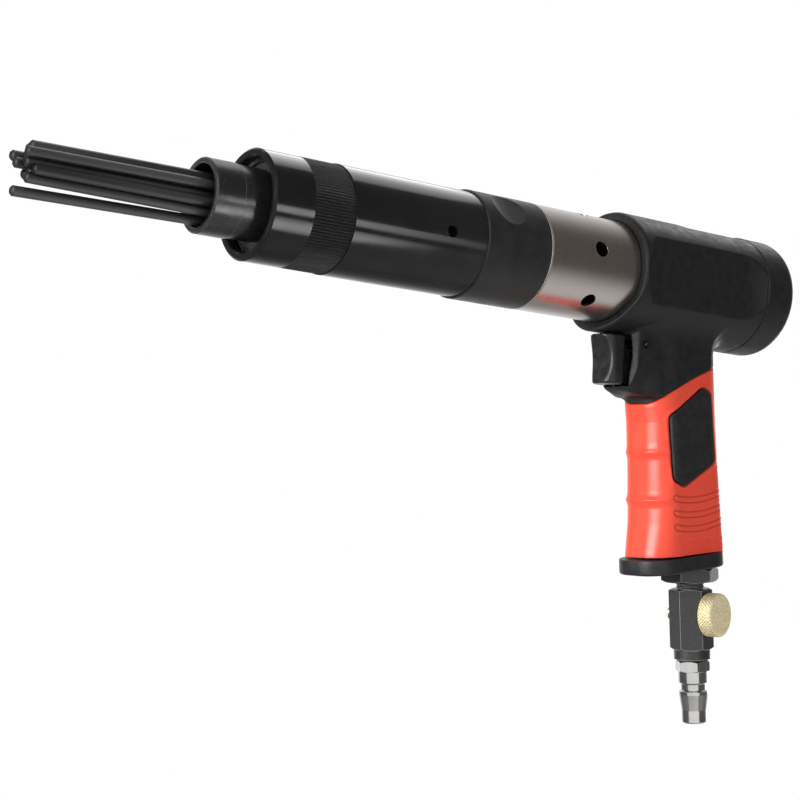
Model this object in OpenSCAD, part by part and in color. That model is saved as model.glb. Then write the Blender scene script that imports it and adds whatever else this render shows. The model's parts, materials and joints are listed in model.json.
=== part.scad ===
// Pneumatic needle scaler with a pistol grip, in millimetres.
// The barrel lies along X with the muzzle towards -X, and Z is up.
// The origin is on the barrel axis, at the middle of the plain land of the front sleeve.

/* [Needles] */
// Diameter of a needle
needle_d = 4; // [3:0.1:4.4]
// Length of a needle from the tip to the top of its head
needle_len = 183; // [175:1:195]
// Gap between neighbouring needles where the bundle is gathered
bundle_gap = 0.15; // [0.1:0.05:0.3]
// How far the head stands out around the needle
head_lip = 0.5; // [0.4:0.1:0.7]
// Height of a needle's head
head_h = 3; // [2:0.5:4]
// Most that a needle's tip stands out of line
tip_stagger = 2.5; // [0:0.5:4]
// How far the tip of one needle strays below the bundle
stray_drop = 4.5; // [0:0.5:5]
// Thickness of the needle holder
holder_t = 10; // [8:1:12]
// Forward travel of the needles
needle_travel = 10; // [4:1:12]

/* [Front sleeve] */
// Outer diameter of the front sleeve
sleeve_d = 45; // [44:0.5:46]
// Length of the front sleeve that shows
sleeve_len = 102; // [101:1:112]
// Bore of the front sleeve
sleeve_bore = 35; // [34.6:0.2:35.6]
// Diameter of the cross hole in the sleeve
sleeve_hole_d = 5; // [3:0.5:6]
// Distance from the sleeve's front to its cross hole
sleeve_hole_s = 83.5; // [82:0.5:86]
// Distance from the sleeve's front to the knurled band
knurl_start = 18; // [14:0.5:22]
// Length of the knurled band
knurl_len = 18.8; // [10:0.2:22]
// Number of knurl teeth
knurl_teeth = 110; // [60:1:120]
// Depth of the knurl
knurl_depth = 0.5; // [0.3:0.1:0.8]
// How much lower the knurled front is than the plain land
front_drop = 0.3; // [0.25:0.05:0.5]
// Chamfer at the sleeve's front rim
sleeve_chamfer = 0.8; // [0.4:0.1:1.2]

/* [Nose] */
// Outer diameter of the nose tube
nose_d = 29.6; // [29:0.2:31]
// Wall of the nose tube
nose_wall = 2.4; // [2.2:0.1:2.6]
// Length of the nose tube in front of the sleeve
nose_reach = 21; // [15:0.5:26]
// Diameter of the mouth that the nose tube's flange seats in
mouth_d = 38; // [37.4:0.2:38.6]
// Thickness of the nose tube's flange
nose_flange_t = 4.5; // [3:0.5:6]
// Thickness of the snap ring
snap_t = 1.4; // [1:0.1:1.8]

/* [Coupling and exhaust] */
// Outer diameter of the coupling nut
coupling_d = 46.6; // [46:0.2:47.4]
// Length of the coupling nut
coupling_len = 34.5; // [32:0.5:38]
// Depth of the wrench flats
flat_depth = 1.8; // [1:0.1:2.2]
// Turn of the wrench flats about the barrel
flat_turn = 47; // [0:1:90]
// Outer diameter of the exhaust sleeve
exhaust_d = 46.4; // [46:0.2:47]
// Length of the exhaust sleeve that shows
exhaust_len = 50.4; // [44:0.2:54]
// Wall of the exhaust sleeve
exhaust_wall = 1.6; // [1.2:0.1:1.8]
// Diameter of the exhaust holes
exhaust_hole_d = 7; // [4:0.5:9]
// Number of exhaust holes around the sleeve
exhaust_holes = 6; // [4:1:8]

/* [Hammer] */
// Bore of the cylinder
cyl_bore = 22; // [20:0.5:23]
// Wall of the cylinder
cyl_wall = 6; // [5:0.2:6.4]
// Length of the hammer piston
piston_len = 48; // [40:1:50]
// Diameter of the anvil's tail
anvil_d = 18; // [14:0.5:19]
// Length of the anvil's tail behind the buffer
anvil_tail = 31; // [26:1:34]
// Free travel of the valve disc
valve_travel = 0.7; // [0.4:0.1:1]

/* [Housing] */
// Diameter of the housing and its rear cap
housing_d = 55; // [54:0.5:57]
// Length of the housing from collar to seam
housing_len = 77; // [75:0.5:82]
// Width across the side flats
flats_w = 46.2; // [45:0.2:48]
// Height of the top flat above the barrel axis
top_flat = 25.2; // [24.6:0.2:26.8]
// Length of the round collar in front of the side flats
collar_len = 3.6; // [3.4:0.1:6]
// Corner rounding of the side flats at the collar
flat_round = 6; // [3:0.5:10]
// Distance from the housing's front to the top flat
top_flat_set = 35.5; // [20:0.5:44]
// Length of the rear cap
cap_len = 19.5; // [16:0.5:26]
// Rounding of the rear cap's edge
cap_round = 6; // [2:0.5:9]

/* [Handle] */
// Rearward lean of the handle
rake = 6.5; // [4:0.5:9]
// Distance from the housing's front to the handle's centre line, on the barrel axis
handle_set = 37.5; // [36:0.5:40]
// Depth of the grip, front to back, at its top
grip_depth = 40.8; // [40:0.2:44]
// Width of the handle
handle_w = 31; // [30:0.5:34]
// Corner rounding of the handle
handle_round = 12; // [9:0.5:14]
// Length of the handle from the barrel axis to the base plate
handle_len = 125; // [120:1:132]
// Growth of the handle's depth towards the base plate
grip_flare = 5.6; // [3:0.2:7]
// Height of the finger ridges
ridge_h = 1.3; // [0:0.1:2]
// Distance between finger ridges
ridge_pitch = 21.5; // [20:0.5:25]
// Wall of the grip over the handle's core
grip_wall = 4.6; // [4.2:0.1:5]
// Thickness of the side pads
pad_t = 2.2; // [1.6:0.1:2.6]
// How far the side pads stand proud
pad_proud = 0.6; // [0.3:0.1:1]
// Thickness of the base plate
base_t = 7; // [5:0.1:9]
// How far the base plate stands out at the sides of the grip
base_lip = 0.8; // [0.4:0.1:1.5]
// Depth of the base plate, front to back
base_depth = 49.4; // [48:0.2:52]
// How far the base plate is set forward
base_set = 2; // [0:0.2:2.4]

/* [Trigger] */
// Width of the trigger
trigger_w = 15; // [13:0.5:15.5]
// Height of the trigger
trigger_h = 21.4; // [20:0.1:22]
// Travel of the trigger
trigger_travel = 6; // [4:0.5:6]
// Depth of the scoop in the trigger's front
trigger_scoop = 2.6; // [1:0.2:3.4]
// Length of the trigger's finger block
trigger_len = 8.5; // [7:0.5:10]
// Rounding of the trigger's front edges
trigger_round = 3; // [1:0.5:4]
// Diameter of the trigger's cross pin
trigger_pin_d = 3; // [2.5:0.1:3.4]
// Diameter of the throttle stem
stem_d = 4; // [3:0.2:4.6]

/* [Air inlet] */
// Distance of the inlet behind the handle's centre line
inlet_set = 9.5; // [8:0.5:11]
// Width across flats of the inlet bushing
bushing_af = 23.5; // [20:0.5:24]
// Height of the inlet bushing's hexagon
bushing_h = 6.3; // [5:0.1:8]
// Diameter of the pipe thread
thread_d = 13.16; // [12:0.02:14]
// Width across flats of the regulator body
regulator_af = 17.4; // [17:0.1:20]
// Length of the regulator body
regulator_len = 28; // [26:0.5:34]
// Diameter of the regulator knob
knob_d = 20.2; // [16:0.2:22]
// Thickness of the regulator knob
knob_t = 5.8; // [5:0.2:9]
// Turn of the regulator about the inlet
regulator_turn = 15; // [0:1:60]
// Turn of the inlet bushing's hexagon
bushing_turn = 28; // [0:1:60]
// Turn of the air plug's hexagon
plug_turn = 1; // [0:1:60]
// Diameter of the regulator's cross stem
cross_stem_d = 8; // [7:0.2:9]
// Width across flats of the air plug
plug_af = 14; // [13:0.5:15]
// Largest diameter of the plug's end
plug_d = 13.4; // [12.5:0.1:13.8]
// Diameter of the plug's tip
plug_tip_d = 11.4; // [10:0.1:12]
// Air bore of the inlet
air_bore = 7; // [5:0.5:8]

/* [Fits] */
// Radial clearance of a running fit
run_gap = 0.05; // [0.02:0.01:0.1]
// Gap between pieces that only lie side by side
side_gap = 0.3; // [0.2:0.05:0.4]
// Clearance of a piece that is seated for good
seat_gap = 0.15; // [0.1:0.01:0.2]

/* [Hidden] */
$fn = 96;
eps = 0.01;
// Gaps between pieces that are clamped together, and between pieces that are only slipped in
touch_gap = 0.05;
slip_gap = 0.1;

// Stations along the barrel, measured from the front of the sleeve
knurl_end = knurl_start + knurl_len;
land_mid = (knurl_end + sleeve_len) / 2;
coupling_rear = sleeve_len + coupling_len;
housing_front = coupling_rear + exhaust_len;
seam = housing_front + housing_len;
rear_end = seam + cap_len;

// Front sleeve and what is inside it
sleeve_r = sleeve_d / 2;
front_r = sleeve_r - front_drop;
bore_r = sleeve_bore / 2;
mouth_r = mouth_d / 2;
snap_s = 4;
nose_flange_s = snap_s + snap_t + slip_gap;
mouth_depth = nose_flange_s + nose_flange_t;
nose_r = nose_d / 2;
nose_bore_r = nose_r - nose_wall;
nose_back = mouth_depth + 16;
spigot_r = sleeve_r - 2.5;
spigot_len = 16.4;
buffer_t = 14;
cyl_front = sleeve_len + spigot_len + 0.5;
buffer_s = cyl_front - buffer_t;
anvil_rear = buffer_s - slip_gap;
anvil_head_t = 13.7;
anvil_front = anvil_rear - anvil_head_t;
head_end = anvil_front - 2 * slip_gap;
holder_rear = head_end - head_h - slip_gap;
holder_front = holder_rear - holder_t;

// Needle grid, in steps of the pitch: 4 by 4 without its corners, standing on a corner
needle_grid = [for (i = [-1.5 : 1.5]) for (j = [-1.5 : 1.5]) if (abs(i) + abs(j) < 3)
    [(i - j) / sqrt(2), (i + j) / sqrt(2)]];
stray_cell = 2;
head_d = needle_d + 2 * head_lip;
bundle_pitch = needle_d + bundle_gap;
holder_pitch = head_d + side_gap;
tip_chamfer = 0.7;

// Needle spring
spring_wire = 2.4;
spring_mean_r = bore_r - spring_wire / 2 - 0.8;
spring_turns = 9;
coil_steps = 12;
spring_from = mouth_depth;
spring_len = holder_front - spring_from;
// The wire is straight between its rings, so it comes a little nearer the axis there
nose_back_r = (spring_mean_r - spring_wire / 2) * cos(180 / coil_steps) - side_gap;

// Coupling, exhaust and cylinder
coupling_r = coupling_d / 2;
exhaust_r = exhaust_d / 2;
exhaust_in_r = exhaust_r - exhaust_wall;
exhaust_seat = 3.2;
exhaust_hole_s = housing_front - 23;
exhaust_first = 12;
cyl_r = cyl_bore / 2 + cyl_wall;
cyl_guide_end = coupling_rear + 2.4;
cyl_flange_end = coupling_rear + 5.3;
cyl_land = housing_front + exhaust_seat;
cyl_land_r = cyl_r + 1.95;
house_bore_r = cyl_land_r + run_gap;
valve_room = 28;
cyl_rear = seam - valve_room;
anvil_tail_end = cyl_front + anvil_tail;
piston_rear = cyl_rear - 0.6;
piston_front = piston_rear - piston_len;
hammer_stroke = piston_front - anvil_tail_end - side_gap;
port_d = 5;
port_s = housing_front - 14;

// Valve and cap
seat_t = 6;
disc_r = 9;
disc_t = 1;
disc_room = disc_t + valve_travel + 2 * side_gap;
cover_t = 8;
valve_ports = 6;
valve_port_d = 2.6;
valve_port_ring = 6;
dowel_d = 3;
dowel_in = 5;
dowel_ring = cyl_land_r - 3.5;
seat_s = cyl_rear + touch_gap;
cover_s = seat_s + seat_t + touch_gap;
gasket_s = cover_s + cover_t + touch_gap;
gasket_t = 2.2;
flat_wall = 2;
cap_thread_r = flats_w / 2 - flat_wall;
cap_thread_s = gasket_s + gasket_t + touch_gap;
cap_wall = 4;
air_ring = 4;
housing_r = housing_d / 2;
cap_bevel = 0.6;

// Handle frame: down the centre line from the barrel axis
handle_s = housing_front + handle_set;
grip_half = grip_depth / 2;
handle_b = handle_w / 2;
grip_top = 30;
ridge_first = 77;
base_top = handle_len;
base_low = base_top + base_t;
core_a = grip_half - grip_wall;
core_b = handle_b - grip_wall;
core_round = handle_round - grip_wall;
pad_round = 3;
pad_a = grip_half + 0.4;
front_split = 58.2;
rear_split = 36;
split_from = handle_s - 17.4;
split_to = handle_s + 27;
split_curve = 1.4;
split_ease = 0.2;

// Trigger and throttle
trigger_top = housing_r + 1.4;
trigger_front = housing_front - 1.4;
block_back = trigger_front + trigger_len;
trigger_back = block_back + 6;
shank_w = 10;
trigger_edge = 1.2;
neck_front = housing_front + 8.4;
neck_low = 54.4;
neck_tip = 51.6;
neck_sweep = 12;
block_room = block_back + trigger_travel + 0.8;
slot_back = trigger_back + trigger_travel + 2;
slot_top = trigger_top - side_gap;
slot_low = trigger_top + trigger_h + side_gap;
tail_h = 5.6;
tail_len = 7.5;
pin_s = trigger_back + 2.6;
pin_z = trigger_top + tail_h / 2;
pin_len = handle_w - 3;
stem_z = 42;
stem_front = trigger_back + side_gap;
valve_bush_s = slot_back;
valve_bush_len = 16;
valve_bush_r = 6.5;
valve_bush_end = valve_bush_s + valve_bush_len;
chamber_r = 7;
chamber_len = 20;
poppet_r = 5.6;
poppet_t = 3.6;
poppet_s = valve_bush_end + side_gap;
chamber_end = valve_bush_end + chamber_len;
throttle_wire = 1;
throttle_mean_r = 4.2;
throttle_turns = 6;
throttle_from = poppet_s + poppet_t;
feed_s = valve_bush_s + 10;
feed_r = 2.5;
feed_z = house_bore_r + feed_r + 0.9;

// Air inlet, along the handle's direction
bushing_low = base_low + bushing_h;
thread_show = 3.3;
thread_depth = 0.6;
plug_thread_d = thread_d - 3;
regulator_top = bushing_low + thread_show;
regulator_low = regulator_top + regulator_len;
collar_h = 4.5;
collar_r = 8.4;
collar_low = regulator_low + collar_h;
washer_t = 0.8;
plug_top = collar_low + washer_t;
plug_hex_h = 5;
plug_neck_h = 5;
plug_groove_h = 4.2;
plug_cone_h = 8.6;
plug_tip_h = 6;
plug_groove_r = plug_d / 2 - 1;
plug_thread_h = 8;
bushing_nose_h = 7;
bushing_neck_r = 9;
bushing_nose_r = 5.5;
screen_d = 8.6;
screen_t = 1.2;
screen_in = 3;
screen_mesh = 2;
thread_in = 9;
cross_t = regulator_top + 11.8;
knob_in = regulator_af / 2 + side_gap;
stem_end = regulator_af / 2 + 3;
clip_t = 0.8;
clip_lip = 1.5;
stem_neck = 0.6;
stem_tail_r = cross_stem_d / 2 - 1.5;
clip_at = regulator_af / 2 + 0.5 + clip_t;
knob_seat_r = cross_stem_d / 2 - 1;
knob_seat = 4;

// A place on the barrel axis, with the local Z pointing rearward
module on_barrel(s) {
    translate([s - land_mid, 0, 0])
        rotate([0, 90, 0])
            children();
}

// A tube along the barrel
module tube(s, len, ro, ri) {
    on_barrel(s)
        difference() {
            cylinder(r = ro, h = len);
            translate([0, 0, -1])
                cylinder(r = ri, h = len + 2);
        }
}

// A turned piece: the points are radius and station
module turned(points) {
    on_barrel(0)
        rotate_extrude()
            polygon(points);
}

// The handle's own frame: Z down-to-up along its centre line, X rearward
module in_handle(set = 0) {
    translate([handle_s - land_mid, 0, 0])
        rotate([0, -rake, 0])
            translate([set, 0, 0])
                children();
}

// A drilling or a rod along X, below the barrel axis
module along_x(s, z, len, r) {
    translate([s - land_mid, 0, -z])
        rotate([0, 90, 0])
            cylinder(r = r, h = len);
}

// A place at a, with the local Z pointing at b
module between(a, b) {
    v = b - a;
    translate(a)
        rotate([0, acos(v[2] / norm(v)), atan2(v[1], v[0])])
            children();
}

// Points of one ring of a wire of six sides that winds round X
function wire_ring(mean_r, wire_r, along, turn, sides) =
    [for (k = [0 : sides - 1])
        let (a = 360 * k / sides, r = mean_r + wire_r * cos(a))
            [along + wire_r * sin(a), r * cos(turn), r * sin(turn)]];

// A coil spring along X: one unbroken wire, with its ends laid square to the axis
module coil(s, z, len, mean_r, wire_d, turns) {
    sides = 6;
    wire_r = wire_d / 2;
    count = turns * coil_steps;
    pitch = (len - wire_d) / turns;
    points = [for (i = [0 : count])
        each wire_ring(mean_r, wire_r, wire_r + pitch * i / coil_steps, 360 * i / coil_steps, sides)];
    skin = [for (i = [0 : count - 1]) for (k = [0 : sides - 1])
        let (a = i * sides + k, b = i * sides + (k + 1) % sides)
            each [[a, b, a + sides], [b, b + sides, a + sides]]];
    ends = [[for (k = [sides - 1 : -1 : 0]) k], [for (k = [0 : sides - 1]) count * sides + k]];
    echo(least_gap_between_turns = pitch - wire_d);
    translate([s - land_mid, 0, -z])
        polyhedron(points, concat(skin, ends));
}

// A flat outline with round corners, half sizes a and b
module round_rect(a, b, r) {
    square([2 * (a - r), 2 * b], center = true);
    square([2 * a, 2 * (b - r)], center = true);
    for (x = [-1, 1], y = [-1, 1])
        translate([x * (a - r), y * (b - r)])
            circle(r = r);
}

// A hexagon bar along Z
module hex_bar(af, h) {
    cylinder(d = af / cos(30), h = h, $fn = 6);
}

// A hexagon bar with its corners chamfered at both ends
module hex_nut(af, h) {
    corner = af / cos(30) / 2;
    drop = (corner - af / 2) * tan(30);
    intersection() {
        hex_bar(af, h);
        rotate_extrude()
            polygon([[0, 0], [af / 2, 0], [corner + eps, drop], [corner + eps, h - drop], [af / 2, h], [0, h]]);
    }
}

// Needles

function barrel_point(s, yz) = [s - land_mid, yz[0], yz[1]];

// Station and place of a needle's tip: the tips are out of line, and one needle has strayed
function tip_station(i) =
    head_end - needle_len + (i == stray_cell ? -tip_stagger : tip_stagger * sin(137 * i));

function needle_tip(i) =
    barrel_point(tip_station(i), needle_grid[i] * bundle_pitch - [0, i == stray_cell ? stray_drop : 0]);

function needle_head(i) = barrel_point(head_end, needle_grid[i] * holder_pitch);

// The point of a needle's axis at a station
function needle_at(i, s) =
    let (u = (head_end - s) / (head_end - tip_station(i)))
        needle_head(i) + (needle_tip(i) - needle_head(i)) * u;

// A straight needle from its chamfered tip to its head, leaning in with the bundle
module needle(i) {
    r = needle_d / 2;
    len = norm(needle_head(i) - needle_tip(i));
    between(needle_tip(i), needle_head(i))
        rotate_extrude($fn = 32)
            polygon([[0, 0], [r - tip_chamfer, 0], [r, tip_chamfer], [r, len - head_h],
                [head_d / 2, len - head_h], [head_d / 2, len], [0, len]]);
}

module needles() {
    color("dimgray")
        for (i = [0 : len(needle_grid) - 1])
            needle(i);
}

module needle_holder() {
    color("slategray")
        difference() {
            on_barrel(holder_front)
                cylinder(r = bore_r - run_gap, h = holder_t);
            for (i = [0 : len(needle_grid) - 1]) {
                a = needle_at(i, holder_front - 1);
                b = needle_at(i, holder_rear + 1);
                between(a, b)
                    cylinder(d = needle_d + 2 * seat_gap, h = norm(b - a), $fn = 32);
            }
        }
}

module anvil() {
    head_r = bore_r - 0.6;
    tail_r = anvil_d / 2;
    bevel = 1;
    color("slategray")
        turned([[0, anvil_front], [head_r - bevel, anvil_front], [head_r, anvil_front + bevel],
            [head_r, anvil_rear], [tail_r, anvil_rear], [tail_r, anvil_tail_end - bevel],
            [tail_r - bevel, anvil_tail_end], [0, anvil_tail_end]]);
}

module needle_spring() {
    color("darkgray")
        coil(spring_from, 0, spring_len, spring_mean_r, spring_wire, spring_turns);
}

// Nose and front sleeve

module nose_tube() {
    step_s = -8.5;
    step_d = 0.35;
    color([0.09, 0.09, 0.095])
        turned([[nose_bore_r + 0.4, -nose_reach], [nose_r - 0.5, -nose_reach], [nose_r, -nose_reach + 0.5],
            [nose_r, step_s], [nose_r - step_d, step_s], [nose_r - step_d, nose_flange_s],
            [mouth_r - run_gap, nose_flange_s], [mouth_r - run_gap, mouth_depth], [nose_back_r, mouth_depth],
            [nose_back_r, nose_back], [nose_bore_r, nose_back], [nose_bore_r, -nose_reach + 0.4]]);
}

module snap_ring() {
    // An open ring, with its gap at the lower left as it is fitted
    gap_angle = 24;
    ring_in = nose_r + 2.4;
    color([0.16, 0.16, 0.17])
        difference() {
            tube(snap_s + touch_gap, snap_t, mouth_r + 0.8, ring_in);
            on_barrel(snap_s)
                rotate([0, 0, 40])
                    rotate([0, 0, -gap_angle / 2])
                        rotate_extrude(angle = gap_angle)
                            translate([ring_in - 1, -1])
                                square([mouth_r, snap_t + 3]);
        }
}

// A ring that cuts straight knurling into a rim of radius r, with narrow lands left on the teeth
module knurl_cutter(r, depth, teeth) {
    land = 0.15;
    difference() {
        circle(r = r + 1);
        polygon([for (i = [0 : teeth - 1], k = [0 : 1])
            let (a = 360 * (i + k / 2) / teeth, q = k == 0 ? r + land : r - depth)
                [q * cos(a), q * sin(a)]]);
    }
}

module front_sleeve() {
    spigot_end = sleeve_len + spigot_len;
    groove_r = mouth_r + 0.9;
    mouth_bevel = 0.6;
    color([0.05, 0.05, 0.055])
        difference() {
            turned([[bore_r, mouth_depth], [mouth_r, mouth_depth], [mouth_r, nose_flange_s],
                [groove_r, nose_flange_s], [groove_r, snap_s], [mouth_r, snap_s], [mouth_r, mouth_bevel],
                [mouth_r + mouth_bevel, 0], [front_r - sleeve_chamfer, 0], [front_r, sleeve_chamfer],
                [front_r, knurl_end], [sleeve_r, knurl_end], [sleeve_r, sleeve_len], [spigot_r, sleeve_len],
                [spigot_r, spigot_end], [bore_r, spigot_end]]);
            on_barrel(knurl_start)
                linear_extrude(knurl_len)
                    knurl_cutter(front_r, knurl_depth, knurl_teeth);
            translate([sleeve_hole_s - land_mid, 0, 0])
                rotate([90, 0, 0])
                    cylinder(d = sleeve_hole_d, h = sleeve_d + 2, center = true);
        }
}

module buffer_ring() {
    color([0.12, 0.1, 0.09])
        tube(buffer_s, buffer_t, bore_r - seat_gap, anvil_d / 2 + side_gap);
}

// Coupling, exhaust sleeve and hammer

module coupling_nut() {
    spigot = exhaust_in_r - run_gap;
    inner = spigot_r + run_gap;
    scoop_r = 19;
    edge = 0.5;
    flat_s = sleeve_len + 14;
    color([0.13, 0.13, 0.135])
        difference() {
            turned([[inner, sleeve_len], [coupling_r - edge, sleeve_len], [coupling_r, sleeve_len + edge],
                [coupling_r, coupling_rear - 0.7], [coupling_r - 0.7, coupling_rear], [spigot, coupling_rear],
                [spigot, cyl_flange_end], [inner, cyl_flange_end]]);
            rotate([flat_turn, 0, 0])
                for (side = [-1, 1])
                    translate([flat_s - land_mid, 0, side * (coupling_r - flat_depth + scoop_r)])
                        rotate([90, 0, 0])
                            cylinder(r = scoop_r, h = coupling_d, center = true);
        }
}

module exhaust_sleeve() {
    color([0.62, 0.58, 0.55])
        difference() {
            tube(coupling_rear, exhaust_len + exhaust_seat, exhaust_r, exhaust_in_r);
            for (i = [0 : exhaust_holes - 1])
                translate([exhaust_hole_s - land_mid, 0, 0])
                    rotate([90 - exhaust_first + 360 * i / exhaust_holes, 0, 0])
                        cylinder(d = exhaust_hole_d, h = exhaust_r + 1);
        }
}

module hammer_cylinder() {
    r = cyl_bore / 2;
    guide_r = anvil_d / 2 + run_gap;
    color("lightgray")
        difference() {
            turned([[guide_r, cyl_front], [spigot_r, cyl_front], [spigot_r, cyl_flange_end],
                [cyl_r, cyl_flange_end], [cyl_r, cyl_land], [cyl_land_r, cyl_land], [cyl_land_r, cyl_rear],
                [r, cyl_rear], [r, cyl_guide_end], [guide_r, cyl_guide_end]]);
            for (a = [45 : 90 : 315])
                translate([port_s - land_mid, 0, 0])
                    rotate([a, 0, 0])
                        cylinder(d = port_d, h = cyl_r + 2);
            dowel_hole(cyl_rear - dowel_in, dowel_in + 1);
        }
}

module piston() {
    r = cyl_bore / 2 - run_gap;
    bevel = 1;
    color("silver")
        turned([[0, piston_front], [r - bevel, piston_front], [r, piston_front + bevel],
            [r, piston_rear - bevel], [r - bevel, piston_rear], [0, piston_rear]]);
}

// Valve and rear cap

module valve_ports(s, len) {
    for (i = [0 : valve_ports - 1])
        on_barrel(s - 1)
            rotate([0, 0, 360 * i / valve_ports])
                translate([valve_port_ring, 0, 0])
                    cylinder(d = valve_port_d, h = len + 2, $fn = 24);
}

module dowel_hole(s, len) {
    on_barrel(s)
        translate([0, dowel_ring, 0])
            cylinder(d = dowel_d, h = len);
}

module valve_seat() {
    color("darkgray")
        difference() {
            on_barrel(seat_s)
                cylinder(r = cyl_land_r - run_gap, h = seat_t);
            on_barrel(seat_s + seat_t - disc_room)
                cylinder(r = disc_r + side_gap, h = disc_room + 1);
            valve_ports(seat_s, seat_t);
            dowel_hole(seat_s - 1, seat_t + 2);
        }
}

module valve_disc() {
    rest_s = seat_s + seat_t - side_gap - disc_t;
    color("lightsteelblue")
        on_barrel(rest_s)
            cylinder(r = disc_r, h = disc_t);
}

module valve_cover() {
    color("darkgray")
        difference() {
            on_barrel(cover_s)
                cylinder(r = cyl_land_r - run_gap, h = cover_t);
            valve_ports(cover_s, cover_t);
            dowel_hole(cover_s - 1, dowel_in);
        }
}

module valve_dowel() {
    color("silver")
        dowel_hole(cyl_rear - dowel_in + 0.2, cover_s - cyl_rear + 2 * dowel_in - 1.4);
}

module cap_gasket() {
    color([0.08, 0.08, 0.08])
        tube(gasket_s, gasket_t, cyl_land_r - run_gap, cyl_land_r - 4);
}

module rear_cap() {
    // The spigot's nose presses on the gasket, with an air ring around it and holes to the inside
    inner_r = cyl_land_r - 3;
    nose_r = cyl_land_r + 1;
    nose_end = cap_thread_s + air_ring;
    screw_r = cap_thread_r - seat_gap;
    arc_steps = 12;
    color([0.12, 0.12, 0.125])
        difference() {
            turned(concat(
                [[0, rear_end - cap_wall], [inner_r, rear_end - cap_wall], [inner_r, cap_thread_s],
                    [nose_r, cap_thread_s], [nose_r, nose_end], [screw_r, nose_end], [screw_r, seam],
                    [housing_r - cap_bevel, seam], [housing_r, seam + cap_bevel]],
                [for (k = [0 : arc_steps])
                    let (a = 90 * k / arc_steps)
                        [housing_r - cap_round * (1 - cos(a)), rear_end - cap_round * (1 - sin(a))]],
                [[0, rear_end]]));
            for (a = [0 : 60 : 300])
                translate([cap_thread_s + air_ring / 2 - land_mid, 0, 0])
                    rotate([a, 0, 0])
                        cylinder(d = air_ring - 1, h = nose_r + 1, $fn = 24);
        }
}

// Housing

// Height of the parting line between neck and grip, from the front of the handle to its back
function split_z(s) =
    let (u = max(0, min(1, (s - split_from) / (split_to - split_from))), e = min(1, u / split_ease),
            w = (1 - pow(1 - u, split_curve)) * e * e * (3 - 2 * e))
        -front_split + (front_split - rear_split) * w;

// Everything above the parting line, or with drop below it, as a cutter
module above_split(drop = 0) {
    steps = 20;
    reach = 60;
    line = [for (i = [0 : steps])
        let (s = split_from + (split_to - split_from) * i / steps)
            [s - land_mid, split_z(s) - drop]];
    first = split_from - land_mid;
    last = split_to - land_mid;
    rotate([90, 0, 0])
        linear_extrude(4 * handle_w, center = true)
            polygon(concat([[first - reach, 40], [first - reach, -front_split - drop]], line,
                [[last + reach, -rear_split - drop], [last + reach, 40]]));
}

// The two side flats, which end in round corners at the collar, and the top flat, as a cutter
module flat_cutter() {
    from = housing_front + collar_len - land_mid;
    top_from = housing_front + top_flat_set - land_mid;
    to = seam + 1 - land_mid;
    half = sqrt(housing_r * housing_r - flats_w * flats_w / 4) + 1;
    rotate([90, 0, 0])
        for (side = [-1, 1])
            translate([0, 0, side > 0 ? flats_w / 2 : -housing_d])
                linear_extrude(housing_d - flats_w / 2) {
                    translate([from + flat_round, -half])
                        square([to - from - flat_round, 2 * half]);
                    translate([from, flat_round - half])
                        square([2 * flat_round, 2 * (half - flat_round)]);
                    for (z = [-1, 1])
                        translate([from + flat_round, z * (half - flat_round)])
                            circle(r = flat_round);
                }
    translate([top_from, -housing_r, top_flat])
        cube([to - top_from, housing_d, housing_r]);
}

module barrel_shell() {
    difference() {
        on_barrel(housing_front)
            cylinder(r = housing_r, h = housing_len);
        flat_cutter();
    }
}

// The collar's lower part runs on forward under the exhaust sleeve, cut on a slant
module collar_tongue() {
    reach = 6.5;
    start_z = -12;
    front = housing_front - land_mid;
    back = front + collar_len;
    intersection() {
        on_barrel(housing_front - reach)
            cylinder(r = housing_r, h = reach + collar_len);
        rotate([90, 0, 0])
            linear_extrude(housing_d, center = true)
                polygon([[front, start_z], [back, start_z], [back, -housing_r - 1], [front - reach, -housing_r - 1]]);
    }
}

module neck() {
    intersection() {
        in_handle()
            translate([0, 0, -base_top])
                linear_extrude(base_top)
                    round_rect(grip_half, handle_b, handle_round);
        above_split();
    }
}

// The neck's front, around the trigger: its underside sweeps up to a thin lip
module trigger_guard() {
    rear = handle_s + grip_half - 4;
    half = (rear - neck_front) / 2;
    steps = 10;
    sweep = [for (k = [0 : steps])
        let (u = k / steps)
            [neck_front - land_mid + neck_sweep * u, -neck_tip - (neck_low - neck_tip) * u * (2 - u)]];
    intersection() {
        translate([neck_front + half - land_mid, 0, -front_split])
            linear_extrude(front_split)
                round_rect(half, handle_b, handle_round);
        rotate([90, 0, 0])
            linear_extrude(2 * handle_w, center = true)
                polygon(concat([[neck_front - land_mid - 1, 0], [neck_front - land_mid - 1, -neck_tip]], sweep,
                    [[rear + 1 - land_mid, -neck_low], [rear + 1 - land_mid, 0]]));
        above_split();
    }
}

module handle_core(grow = 0) {
    in_handle()
        translate([0, 0, -base_top + eps])
            linear_extrude(base_top - grip_top)
                round_rect(core_a + grow, core_b + grow, core_round + grow);
}

module trigger_slot() {
    width = trigger_w + 2 * side_gap;
    inner_w = shank_w + 2 * side_gap;
    tail_back = trigger_back + tail_len + trigger_travel + side_gap;
    front = trigger_front - 5;
    translate([front - land_mid, -width / 2, -slot_low])
        cube([block_room - front, width, slot_low - slot_top]);
    translate([block_room - 1 - land_mid, -inner_w / 2, -slot_low])
        cube([slot_back - block_room + 1, inner_w, slot_low - slot_top]);
    translate([trigger_back - 1 - land_mid, -inner_w / 2, -trigger_top - tail_h - side_gap])
        cube([tail_back - trigger_back + 1, inner_w, tail_h + 2 * side_gap]);
}

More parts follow.
